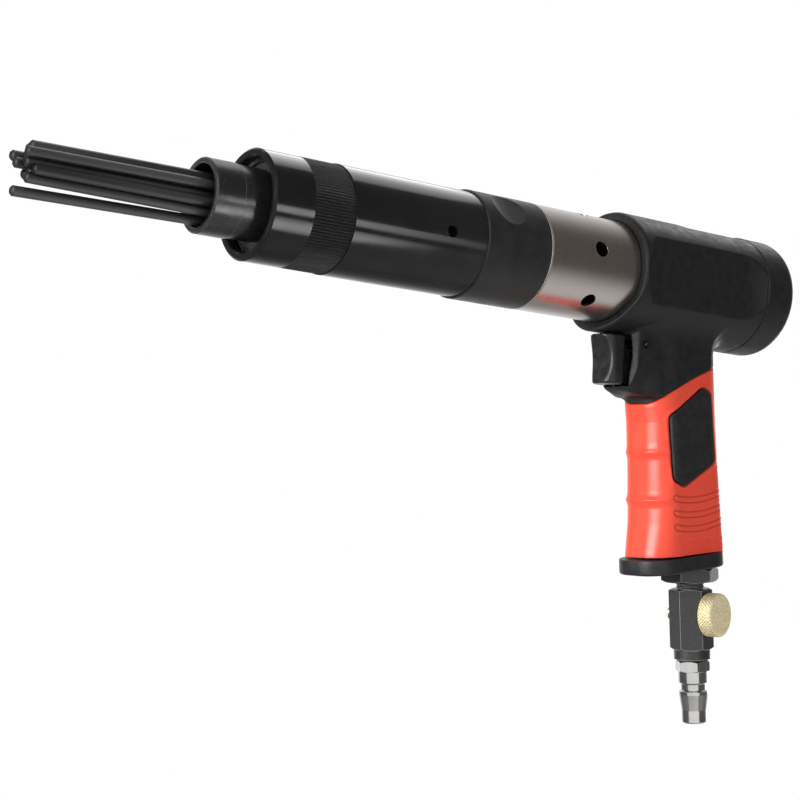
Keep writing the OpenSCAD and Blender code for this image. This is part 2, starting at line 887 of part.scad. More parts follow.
module air_passages() {
    // Inlet up the handle, the throttle chamber, and the feed to the valve behind the cylinder
    in_handle(inlet_set)
        translate([0, 0, -base_top - 1])
            cylinder(d = air_bore, h = base_top + 1 - stem_z);
    in_handle(inlet_set)
        translate([0, 0, -base_top - 1])
            cylinder(r = bushing_nose_r + seat_gap, h = 1 + bushing_nose_h + side_gap);
    along_x(valve_bush_s - eps, stem_z, valve_bush_len + eps, valve_bush_r + run_gap);
    along_x(valve_bush_end - eps, stem_z, chamber_len, chamber_r);
    translate([feed_s - land_mid, 0, -stem_z])
        cylinder(r = feed_r, h = stem_z - feed_z);
    along_x(feed_s, feed_z, cap_thread_s - feed_s + 0.5, feed_r);
}

module housing() {
    color([0.13, 0.13, 0.135])
        difference() {
            union() {
                barrel_shell();
                collar_tongue();
                neck();
                trigger_guard();
                handle_core();
            }
            on_barrel(housing_front - 30)
                cylinder(r = exhaust_r + run_gap, h = 30 + exhaust_seat);
            on_barrel(housing_front)
                cylinder(r = house_bore_r, h = housing_len + 1);
            on_barrel(cap_thread_s)
                cylinder(r = cap_thread_r, h = seam - cap_thread_s + 1);
            trigger_slot();
            translate([pin_s - land_mid, 0, -pin_z])
                rotate([90, 0, 0])
                    cylinder(d = trigger_pin_d, h = handle_w + 20, center = true);
            air_passages();
        }
}

// Trigger and throttle

// The trigger's plan, with round front edges, carried down along the lean of its front
module finger_column() {
    half = trigger_len / 2 + trigger_round;
    translate([trigger_front - land_mid, 0, -trigger_top])
        rotate([0, -rake, 0])
            translate([half - touch_gap, 0, -trigger_h - 2])
                linear_extrude(trigger_h + 4)
                    round_rect(half, trigger_w / 2, trigger_round);
}

module trigger() {
    // The front leans back like the handle, and the scoop is an arc between its two edges
    lean = trigger_h * tan(rake);
    half = trigger_h / 2 / cos(rake) - trigger_edge;
    scoop_r = (half * half + trigger_scoop * trigger_scoop) / (2 * trigger_scoop);
    scoop_at = [lean / 2, -trigger_h / 2] - (scoop_r - trigger_scoop) * [cos(rake), sin(rake)];
    pin_slot = trigger_travel + trigger_pin_d + 2 * side_gap;
    color([0.14, 0.14, 0.145])
        difference() {
            union() {
                intersection() {
                    translate([trigger_front - land_mid, 0, -trigger_top])
                        rotate([90, 0, 0])
                            linear_extrude(trigger_w, center = true)
                                polygon([[0, 0], [lean, -trigger_h], [trigger_len, -trigger_h], [trigger_len, 0]]);
                    finger_column();
                }
                translate([block_back - 1 - land_mid, -shank_w / 2, -trigger_top - trigger_h + 1])
                    cube([trigger_back - block_back + 1, shank_w, trigger_h - 1]);
                translate([trigger_back - 1 - land_mid, -shank_w / 2, -trigger_top - tail_h])
                    cube([tail_len + 1, shank_w, tail_h]);
            }
            translate([trigger_front - land_mid + scoop_at[0], 0, -trigger_top + scoop_at[1]])
                rotate([90, 0, 0])
                    cylinder(r = scoop_r, h = trigger_w + 2, center = true);
            translate([pin_s + trigger_pin_d / 2 + side_gap - pin_slot - land_mid, -trigger_w / 2 - 1,
                    -pin_z - trigger_pin_d / 2 - side_gap])
                cube([pin_slot, trigger_w + 2, trigger_pin_d + 2 * side_gap]);
        }
}

module trigger_pin() {
    color("gray")
        translate([pin_s - land_mid, 0, -pin_z])
            rotate([90, 0, 0])
                cylinder(d = trigger_pin_d, h = pin_len, center = true);
}

module throttle_bushing() {
    groove_s = valve_bush_s + 2.5;
    color("goldenrod")
        difference() {
            along_x(valve_bush_s, stem_z, valve_bush_len, valve_bush_r);
            along_x(valve_bush_s - 1, stem_z, valve_bush_len, stem_d / 2 + run_gap);
            along_x(valve_bush_s + 6, stem_z, valve_bush_len, valve_bush_r - 2.3);
            translate([feed_s - land_mid, 0, -stem_z])
                cylinder(r = feed_r - 0.3, h = valve_bush_r + 1);
            difference() {
                along_x(groove_s, stem_z, 2.2, valve_bush_r + 1);
                along_x(groove_s - 1, stem_z, 5, valve_bush_r - 1.3);
            }
        }
}

module throttle_seal() {
    groove_s = valve_bush_s + 2.5;
    color([0.06, 0.06, 0.06])
        difference() {
            along_x(groove_s + 0.1, stem_z, 2, valve_bush_r + run_gap / 2);
            along_x(groove_s - 1, stem_z, 5, valve_bush_r - 1.3 + run_gap / 2);
        }
}

module throttle_stem() {
    color("silver") {
        along_x(stem_front, stem_z, poppet_s - stem_front + 1, stem_d / 2);
        along_x(poppet_s, stem_z, poppet_t, poppet_r);
    }
}

module throttle_spring() {
    color("darkgray")
        coil(throttle_from, stem_z, chamber_end - throttle_from, throttle_mean_r, throttle_wire, throttle_turns);
}

// Grip

// Half depth of the grip at a distance down the handle
function grip_a(t) = grip_half + grip_flare / 2 * pow(max(0, (t - front_split) / (handle_len - front_split)), 1.3);

// How far the front falls back at a distance down the handle: round hollows that meet in ridges
function ridge(t) =
    let (n = (t - ridge_first) / ridge_pitch, u = n - floor(n))
        -4 * ridge_h * u * (1 - u);

// Outline of the grip at a distance down the handle
function grip_ring(t) =
    let (a = grip_a(t), b = handle_b, r = handle_round, steps = 8)
        [for (q = [0 : 3], k = [0 : steps])
            let (ang = 90 * q + 90 * k / steps,
                    x = (q == 0 || q == 3 ? 1 : -1) * (a - r) + r * cos(ang),
                    y = (q < 2 ? 1 : -1) * (b - r) + r * sin(ang),
                    front = max(0, -x / a))
                [x - front * front * ridge(t), y, -t]];

// The grip's outer form, from under the barrel to the base plate
module grip_form() {
    rings = 40;
    n = len(grip_ring(0));
    points = [for (i = [0 : rings])
        each grip_ring(grip_top + (handle_len - grip_top) * i / rings)];
    skin = [for (i = [0 : rings - 1], k = [0 : n - 1])
        let (a = i * n + k, b = i * n + (k + 1) % n)
            each [[a, b, a + n], [b, b + n, a + n]]];
    ends = [[for (k = [n - 1 : -1 : 0]) k], [for (k = [0 : n - 1]) rings * n + k]];
    in_handle()
        polyhedron(points, concat(skin, ends));
}

// Points of a flat outline with each corner rounded by r, then grown all round
function rounded(points, r, grow) =
    let (n = len(points), steps = 4)
        [for (i = [0 : n - 1])
            let (p = points[i], a = points[(i + n - 1) % n] - p, b = points[(i + 1) % n] - p,
                    ua = a / norm(a), ub = b / norm(b), half = acos(ua * ub) / 2,
                    mid = (ua + ub) / norm(ua + ub), centre = p + mid * r / sin(half),
                    from = atan2(-mid[1], -mid[0]), turn = 90 - half)
                for (k = [-steps : steps])
                    let (w = from + turn * k / steps)
                        centre + (r + grow) * [cos(w), sin(w)]];

// Outline of a side pad, seen from the side, in the handle's frame
module pad_outline(grow = 0) {
    corners = [[-13.8, -61.3], [-13, -90.2], [-7.3, -93.5], [13.4, -82.6], [11.6, -51.6], [6, -48.7]];
    polygon(rounded(corners, pad_round, grow));
}

module pad_column(side, grow = 0) {
    in_handle()
        rotate([90, 0, 0])
            translate([0, 0, side > 0 ? -handle_w : 2])
                linear_extrude(handle_w - 2)
                    pad_outline(grow);
}

// A straight bar with the grip's outline at the height of the pads, drawn in by inset
module pad_bar(inset) {
    in_handle()
        translate([0, 0, -handle_len])
            linear_extrude(handle_len)
                round_rect(pad_a - inset, handle_b - inset, handle_round - inset);
}

module grip() {
    color([0.85, 0.2, 0.12])
        difference() {
            grip_form();
            above_split();
            handle_core(seat_gap);
            for (side = [-1, 1])
                difference() {
                    pad_column(side, seat_gap);
                    pad_bar(pad_t - pad_proud);
                }
        }
}

module grip_pad(side) {
    color([0.1, 0.1, 0.1])
        difference() {
            intersection() {
                pad_column(side);
                pad_bar(-pad_proud);
            }
            pad_bar(pad_t - pad_proud);
        }
}

module grip_pad_left() {
    grip_pad(1);
}

module grip_pad_right() {
    grip_pad(-1);
}

module base_plate() {
    color([0.11, 0.11, 0.115])
        difference() {
            in_handle(-base_set)
                translate([0, 0, -base_low])
                    linear_extrude(base_t)
                        round_rect(base_depth / 2, handle_b + base_lip, handle_round + base_lip);
            in_handle(inlet_set)
                translate([0, 0, -base_low - 1])
                    cylinder(r = bushing_neck_r + seat_gap, h = base_t + 2);
        }
}

// Air inlet

// The inlet's own frame: Z along the handle's direction, at a distance down it
module at_inlet(t) {
    in_handle(inlet_set)
        translate([0, 0, -t])
            children();
}

module inlet_bushing() {
    color([0.33, 0.33, 0.34])
        difference() {
            union() {
                at_inlet(bushing_low)
                    rotate([0, 0, bushing_turn])
                        hex_nut(bushing_af, bushing_h);
                at_inlet(base_low + 1)
                    cylinder(r = bushing_neck_r, h = base_t + 1);
                at_inlet(base_top + 1)
                    cylinder(r = bushing_nose_r, h = bushing_nose_h + 1);
            }
            at_inlet(bushing_low + 1)
                cylinder(d = thread_d + 2 * seat_gap, h = 1 + thread_in + side_gap);
            at_inlet(bushing_low)
                cylinder(d = air_bore, h = bushing_h + base_t + bushing_nose_h + 1);
            at_inlet(base_top - bushing_nose_h + screen_in)
                cylinder(d = screen_d, h = screen_in + 1);
        }
}

module inlet_screen() {
    color("lightgray")
        difference() {
            at_inlet(base_top - bushing_nose_h + screen_in - 0.1)
                cylinder(d = screen_d - 2 * seat_gap, h = screen_t);
            for (x = [-1 : 1], y = [-1 : 1])
                at_inlet(base_top - bushing_nose_h + screen_in + 1)
                    translate([x * screen_mesh, y * screen_mesh, 0])
                        cylinder(d = screen_mesh * 0.6, h = screen_t + 2, $fn = 16);
        }
}

// The cross stem's frame: Z out of the body on the knob's side
module at_cross() {
    at_inlet(cross_t)
        rotate([0, 0, regulator_turn])
            rotate([90, 0, 0])
                children();
}

module thread_ridges(t, r, count, pitch) {
    // Turned ridges that stand for the crests of the thread
    depth = thread_depth;
    for (i = [0 : count - 1])
        at_inlet(t + pitch * (i + 1))
            rotate_extrude()
                polygon([[r - 1, 0], [r - depth, 0], [r, pitch / 2], [r - depth, pitch], [r - 1, pitch]]);
}

module regulator_body() {
    thread_pitch = 1.337;
    thread_top = bushing_low - thread_in;
    crest_count = floor((thread_show + thread_in) / thread_pitch);
    color([0.2, 0.2, 0.205])
        difference() {
            union() {
                at_inlet(regulator_low)
                    rotate([0, 0, regulator_turn])
                        hex_nut(regulator_af, regulator_len);
                at_inlet(regulator_top)
                    cylinder(d = thread_d - 2 * thread_depth, h = thread_show + thread_in);
                thread_ridges(thread_top, thread_d / 2, crest_count, thread_pitch);
                at_inlet(collar_low)
                    cylinder(r = collar_r, h = collar_h + 1);
            }
            at_inlet(collar_low + 1)
                cylinder(d = air_bore, h = collar_low - thread_top + 2);
            at_inlet(collar_low + 1)
                cylinder(d = plug_thread_d + 2 * seat_gap, h = 1 + plug_thread_h + side_gap);
            at_cross()
                cylinder(d = cross_stem_d + 2 * run_gap, h = 2 * regulator_af, center = true);
        }
}

module regulator_knob() {
    teeth = 48;
    depth = 0.35;
    bevel = 0.8;
    r = knob_d / 2;
    color([0.85, 0.7, 0.4])
        at_cross()
            difference() {
                translate([0, 0, knob_in])
                    rotate_extrude()
                        polygon([[0, 0], [r - bevel, 0], [r, bevel], [r, knob_t - bevel], [r - bevel, knob_t],
                            [0, knob_t]]);
                translate([0, 0, knob_in - 1])
                    linear_extrude(knob_t + 2)
                        knurl_cutter(r, depth, teeth);
                translate([0, 0, knob_in - 1])
                    cylinder(r = knob_seat_r + seat_gap, h = knob_seat + 1);
            }
}

module regulator_stem() {
    color([0.8, 0.66, 0.36])
        at_cross()
            difference() {
                union() {
                    translate([0, 0, -regulator_af / 2])
                        cylinder(d = cross_stem_d, h = regulator_af + side_gap - 0.05);
                    cylinder(r = knob_seat_r, h = knob_in + knob_seat - seat_gap);
                    translate([0, 0, -stem_end])
                        cylinder(r = stem_tail_r, h = stem_end);
                }
                rotate([90, 0, 0])
                    cylinder(d = air_bore - 2, h = cross_stem_d + 4, center = true);
                translate([0, 0, -clip_at - 0.1])
                    difference() {
                        cylinder(d = cross_stem_d, h = clip_t + 0.2);
                        translate([0, 0, -1])
                            cylinder(r = stem_tail_r - stem_neck, h = clip_t + 3);
                    }
            }
}

module regulator_clip() {
    neck_r = stem_tail_r - stem_neck;
    mouth = 1.6 * neck_r;
    color("dimgray")
        at_cross()
            translate([0, 0, -clip_at])
                difference() {
                    cylinder(r = stem_tail_r + clip_lip, h = clip_t);
                    translate([0, 0, -1])
                        cylinder(r = neck_r + run_gap, h = clip_t + 2);
                    translate([0, -mouth / 2, -1])
                        cube([stem_tail_r + clip_lip + 1, mouth, clip_t + 2]);
                }
}

module plug_washer() {
    color([0.05, 0.05, 0.05])
        at_inlet(plug_top)
            difference() {
                cylinder(r = collar_r - 1.2, h = washer_t);
                translate([0, 0, -1])
                    cylinder(d = plug_thread_d + 2 * seat_gap, h = washer_t + 2);
            }
}

module air_plug() {
    hex_low = plug_top + plug_hex_h;
    neck_low = hex_low + plug_neck_h;
    groove_low = neck_low + plug_groove_h;
    cone_low = groove_low + plug_cone_h;
    tip_low = cone_low + plug_tip_h;
    color([0.7, 0.7, 0.7])
        difference() {
            union() {
                at_inlet(hex_low)
                    rotate([0, 0, plug_turn])
                        hex_nut(plug_af, plug_hex_h);
                at_inlet(plug_top)
                    cylinder(d = plug_thread_d, h = plug_thread_h);
                at_inlet(0)
                    rotate_extrude()
                        polygon([[0, -hex_low], [plug_d / 2, -hex_low], [plug_d / 2, -neck_low],
                            [plug_groove_r, -neck_low - 0.8], [plug_groove_r, -groove_low + 0.8],
                            [plug_d / 2, -groove_low], [plug_d / 2, -groove_low - 1.4],
                            [plug_tip_d / 2, -cone_low], [plug_tip_d / 2, -tip_low + 0.6],
                            [plug_tip_d / 2 - 0.6, -tip_low], [0, -tip_low]]);
            }
            at_inlet(tip_low + 1)
                cylinder(d = air_bore, h = tip_low - plug_top + plug_thread_h + 2);
        }
}

needles();
needle_holder();
anvil();
needle_spring();
nose_tube();
snap_ring();
front_sleeve();
buffer_ring();
coupling_nut();
hammer_cylinder();
piston();
exhaust_sleeve();
valve_seat();
valve_disc();
valve_cover();
valve_dowel();
cap_gasket();
rear_cap();
housing();
trigger();
trigger_pin();
throttle_bushing();
throttle_stem();
throttle_spring();
throttle_seal();
grip();
grip_pad_left();
grip_pad_right();
base_plate();
inlet_bushing();
inlet_screen();
regulator_body();
regulator_knob();
regulator_stem();
regulator_clip();
plug_washer();
air_plug();
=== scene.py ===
# Needle scaler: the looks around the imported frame. Lengths in the dictionaries are millimetres.
import json
import bpy
import numpy as np
from mathutils import Matrix

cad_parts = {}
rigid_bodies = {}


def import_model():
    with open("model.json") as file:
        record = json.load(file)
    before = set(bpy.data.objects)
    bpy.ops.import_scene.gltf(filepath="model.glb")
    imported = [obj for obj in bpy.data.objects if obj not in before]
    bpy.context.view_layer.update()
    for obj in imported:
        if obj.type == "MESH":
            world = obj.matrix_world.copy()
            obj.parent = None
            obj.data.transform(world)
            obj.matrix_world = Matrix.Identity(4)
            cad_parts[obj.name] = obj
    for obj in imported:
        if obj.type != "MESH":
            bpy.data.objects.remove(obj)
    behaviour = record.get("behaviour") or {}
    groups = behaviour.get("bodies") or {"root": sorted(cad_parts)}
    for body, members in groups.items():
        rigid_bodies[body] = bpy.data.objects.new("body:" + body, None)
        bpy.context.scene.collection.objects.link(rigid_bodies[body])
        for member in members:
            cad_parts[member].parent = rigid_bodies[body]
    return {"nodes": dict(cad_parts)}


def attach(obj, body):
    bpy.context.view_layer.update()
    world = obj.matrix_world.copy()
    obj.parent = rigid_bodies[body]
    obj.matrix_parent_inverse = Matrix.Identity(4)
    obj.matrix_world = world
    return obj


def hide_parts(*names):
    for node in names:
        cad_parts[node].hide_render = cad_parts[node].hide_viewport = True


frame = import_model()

scene = bpy.context.scene
nodes = frame["nodes"]
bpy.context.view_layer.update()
mm = 0.001
print("frame loaded:", len(nodes), "nodes")


# Camera: the photograph's own place and lens, found from the rings of the barrel

photoCamera = {
    "place": (-0.390898, -0.568773, -0.123757),
    "right": (0.813384, -0.57822, 0.06378),
    "up": (-0.097821, -0.027872, 0.994814),
    "ahead": (0.573443, 0.815405, 0.079233),
    "lens": 76.5,
    "sensor": 36.0,
}


# The camera's axes are given as they stand in the frame, so its turn is their matrix
def setCamera(look):
    data = bpy.data.cameras.new("photoCamera")
    data.lens = look["lens"]
    data.sensor_width = look["sensor"]
    data.clip_start = 0.01
    holder = bpy.data.objects.new("photoCamera", data)
    axes = np.array([look["right"], look["up"], -np.array(look["ahead"])])
    holder.rotation_mode = "QUATERNION"
    holder.location = look["place"]
    holder.rotation_quaternion = Matrix(axes.T.tolist()).to_quaternion()
    scene.collection.objects.link(holder)
    scene.camera = holder


setCamera(photoCamera)
scene.view_settings.view_transform = "Standard"
print("camera set")


# Stage: white around and below, a dim ceiling that brightens towards the far side, and soft lamps

studio = {
    "floorAt": -0.32,
    "floorTint": 0.86,
    "floorCentre": (0.06, 0.0),
    "floorFade": (0.30, 0.50),  # metres from the tool over which the floor fades into the white world
    "floorSpare": 0.02,  # the mesh ends a little past the fade
    "ambient": 0.40,
    "ceiling": (0.135, 0.122, 0.120),
    "farSide": 1.15,
    "farReach": (-0.45, 0.80),
    "farTurn": (-0.35, 0.25),
    "horizon": (-0.78, -0.12),  # sine of the height over which the low part turns into ceiling
    "nearSide": 0.35,
    "nearAim": (0.9, 0.35, 0.0),
    "nearReach": (-0.45, 0.25),
    "lowNear": 0.90,
    "lowFar": 0.30,
    "lowReach": (-0.20, 0.45),
    "behindTint": 1.2,  # a pale wall behind the camera
    "behindAim": (-0.72, -0.69, 0.0),
    "behindReach": (0.58, 0.70),
    # Some lamps light only the pieces named, skip a piece, or stay out of reflections
    "lamps": [
        {"name": "keyLamp", "place": (-0.75, -1.0, 0.85), "aim": (0.05, 0, -0.03),
         "size": (0.7, 0.7), "watt": 3.0},
        {"name": "leftLamp", "place": (-0.98, 0.18, 0.05), "aim": (0.17, 0, -0.09),
         "size": (0.75, 0.5), "watt": 20.0, "skip": ("air_plug", "needles")},
        {"name": "fillLamp", "place": (0.75, -1.1, -0.05), "aim": (0.15, 0, -0.08),
         "size": (0.6, 0.6), "watt": 5.5, "glossy": False},
        {"name": "lineLamp", "place": (0.367, -0.600, -0.081), "aim": (0.098, 0.0405, 0.0044),
         "size": (0.22, 0.15), "watt": 0.105, "spread": 29, "only": ("front_sleeve", "nose_tube")},
        {"name": "bandLamp", "place": (0.305, -0.490, -0.379), "aim": (0.036, 0.017, 0.021),
         "size": (0.13, 0.30), "watt": 0.15, "spread": 38, "only": ("front_sleeve", "nose_tube")},
        {"name": "roofLamp", "place": (0.395, 0.2625, 0.5825), "aim": (0.395, 0, 0),
         "size": (0.26, 0.68), "watt": 1.75, "only": ("front_sleeve",)},
        {"name": "rearLamp", "place": (1.03, 0.35, 0.85), "aim": (1.03, 0, 0),
         "size": (0.2, 0.5), "watt": 1.4, "only": ("housing_body", "rear_cap")},
        {"name": "rightLamp", "place": (1.02, 0.42, -0.12), "aim": (0.2, 0, -0.13),
         "size": (0.25, 0.3), "watt": 0.9},
        {"name": "topLamp", "place": (0.12, 0.35, 0.95), "aim": (0.08, 0, 0),
         "size": (0.9, 0.5), "watt": 1.6},
    ],
}


# A shader value that steps smoothly from 0 to 1 over a span of its input
def addStep(tree, source, span):
    step = tree.nodes.new("ShaderNodeMapRange")
    step.interpolation_type = "SMOOTHSTEP"
    step.inputs["From Min"].default_value = span[0]
    step.inputs["From Max"].default_value = span[1]
    tree.links.new(source, step.inputs["Value"])
    return step.outputs[0]


# A mix of two colours, each a triple or an output
def addMix(tree, factor, a, b):
    mix = tree.nodes.new("ShaderNodeMix")
    mix.data_type = "RGBA"
    tree.links.new(factor, mix.inputs["Factor"])
    for name, value in (("A", a), ("B", b)):
        if isinstance(value, tuple):
            mix.inputs[name].default_value = (*value, 1)
        else:
            tree.links.new(value, mix.inputs[name])
    return mix.outputs["Result"]


# Reflections see a sky made of smooth steps along directions: a ceiling that brightens towards +X and +Y,
# a pale wall behind the camera, and a low part that is pale on the camera's side and dimmer beyond it and
# towards the muzzle. The camera itself sees white, and diffuse surfaces get an even light
def setWorld(look):
    world = bpy.data.worlds.new("studioWorld")
    scene.world = world
    world.use_nodes = True
    tree = world.node_tree
    tree.nodes.clear()
    out = tree.nodes.new("ShaderNodeOutputWorld")
    path = tree.nodes.new("ShaderNodeLightPath")
    coords = tree.nodes.new("ShaderNodeTexCoord")
    split = tree.nodes.new("ShaderNodeSeparateXYZ")
    tree.links.new(coords.outputs["Generated"], split.inputs[0])
    sideways = tree.nodes.new("ShaderNodeVectorMath")
    sideways.operation = "DOT_PRODUCT"
    sideways.inputs[1].default_value = look["nearAim"]
    tree.links.new(coords.outputs["Generated"], sideways.inputs[0])
    far = tree.nodes.new("ShaderNodeMath")
    far.operation = "MULTIPLY"
    tree.links.new(addStep(tree, split.outputs["Y"], look["farReach"]), far.inputs[0])
    tree.links.new(addStep(tree, split.outputs["X"], look["farTurn"]), far.inputs[1])
    raised = addStep(tree, split.outputs["Z"], look["horizon"])
    away = addStep(tree, sideways.outputs["Value"], look["nearReach"])
    ceiling = addMix(tree, far.outputs[0], look["ceiling"], (look["farSide"],) * 3)
    back = addStep(tree, split.outputs["Y"], look["lowReach"])
    low = addMix(tree, back, (look["lowNear"],) * 3, (look["lowFar"],) * 3)
    around = addMix(tree, away, (look["nearSide"],) * 3, low)
    behind = tree.nodes.new("ShaderNodeVectorMath")
    behind.operation = "DOT_PRODUCT"
    behind.inputs[1].default_value = look["behindAim"]
    tree.links.new(coords.outputs["Generated"], behind.inputs[0])
    wall = addStep(tree, behind.outputs["Value"], look["behindReach"])
    ceiling = addMix(tree, wall, ceiling, (look["behindTint"],) * 3)
    sky = addMix(tree, raised, around, ceiling)
    backs = {}
    for name in ("seen", "gloss", "soft"):
        backs[name] = tree.nodes.new("ShaderNodeBackground")
        backs[name].inputs["Color"].default_value = (1, 1, 1, 1)
    backs["soft"].inputs["Strength"].default_value = look["ambient"]
    tree.links.new(sky, backs["gloss"].inputs["Color"])
    shiny = tree.nodes.new("ShaderNodeMath")
    shiny.operation = "MAXIMUM"
    tree.links.new(path.outputs["Is Glossy Ray"], shiny.inputs[0])
    tree.links.new(path.outputs["Is Transmission Ray"], shiny.inputs[1])
    inner = tree.nodes.new("ShaderNodeMixShader")
    outer = tree.nodes.new("ShaderNodeMixShader")
    tree.links.new(shiny.outputs[0], inner.inputs["Fac"])
    tree.links.new(backs["soft"].outputs[0], inner.inputs[1])
    tree.links.new(backs["gloss"].outputs[0], inner.inputs[2])
    tree.links.new(path.outputs["Is Camera Ray"], outer.inputs["Fac"])
    tree.links.new(inner.outputs[0], outer.inputs[1])
    tree.links.new(backs["seen"].outputs[0], outer.inputs[2])
    tree.links.new(outer.outputs[0], out.inputs["Surface"])


# A round floor that fades out with the distance from under the tool, and stays out of reflections
def setFloor(look):
    material = bpy.data.materials.new("floorWhite")
    material.use_nodes = True
    tree = material.node_tree
    tree.nodes.clear()
    out = tree.nodes.new("ShaderNodeOutputMaterial")
    matt = tree.nodes.new("ShaderNodeBsdfDiffuse")
    matt.inputs["Color"].default_value = (look["floorTint"],) * 3 + (1,)
    clear = tree.nodes.new("ShaderNodeBsdfTransparent")
    both = tree.nodes.new("ShaderNodeMixShader")
    coords = tree.nodes.new("ShaderNodeTexCoord")
    reach = tree.nodes.new("ShaderNodeVectorMath")
    reach.operation = "DISTANCE"
    reach.inputs[1].default_value = (*look["floorCentre"], look["floorAt"])
    tree.links.new(coords.outputs["Object"], reach.inputs[0])
    fade = addStep(tree, reach.outputs["Value"], look["floorFade"])
    path = tree.nodes.new("ShaderNodeLightPath")
    gone = tree.nodes.new("ShaderNodeMath")
    gone.operation = "MAXIMUM"
    tree.links.new(fade, gone.inputs[0])
    tree.links.new(path.outputs["Is Glossy Ray"], gone.inputs[1])
    tree.links.new(gone.outputs[0], both.inputs["Fac"])
    tree.links.new(matt.outputs[0], both.inputs[1])
    tree.links.new(clear.outputs[0], both.inputs[2])
    tree.links.new(both.outputs[0], out.inputs["Surface"])
    turn = np.linspace(0, 2 * np.pi, 97)[:-1]
    wide = look["floorFade"][1] + look["floorSpare"]
    ringX = look["floorCentre"][0] + wide * np.cos(turn)
    ringY = look["floorCentre"][1] + wide * np.sin(turn)
    ring = np.stack([ringX, ringY, np.full(len(turn), look["floorAt"])], 1)
    mesh = bpy.data.meshes.new("studioFloor")
    mesh.from_pydata(ring.tolist(), [], [list(range(len(turn)))])
    mesh.materials.append(material)
    floor = bpy.data.objects.new("studioFloor", mesh)
    scene.collection.objects.link(floor)


# Soft rectangular lamps, each turned so that its face looks at its aim
def setLamps(look):
    for item in look["lamps"]:
        data = bpy.data.lights.new(item["name"], "AREA")
        data.shape = "RECTANGLE"
        data.size, data.size_y = item["size"]
        data.energy = item["watt"]
        data.spread = np.radians(item.get("spread", 180))
        lamp = bpy.data.objects.new(item["name"], data)
        lamp.visible_camera = False
        lamp.visible_glossy = item.get("glossy", True)
        ahead = np.array(item["aim"]) - np.array(item["place"])
        ahead = ahead / np.linalg.norm(ahead)
        right = np.cross(ahead, (0, 0, 1))
        right = right / np.linalg.norm(right)
        axes = np.array([right, np.cross(right, ahead), -ahead])
        lamp.matrix_world = Matrix.Translation(item["place"]) @ Matrix(axes.T.tolist()).to_4x4()
        scene.collection.objects.link(lamp)


setWorld(studio)
setFloor(studio)
setLamps(studio)
print("studio set")


# Finishes: one dictionary per slot of the record

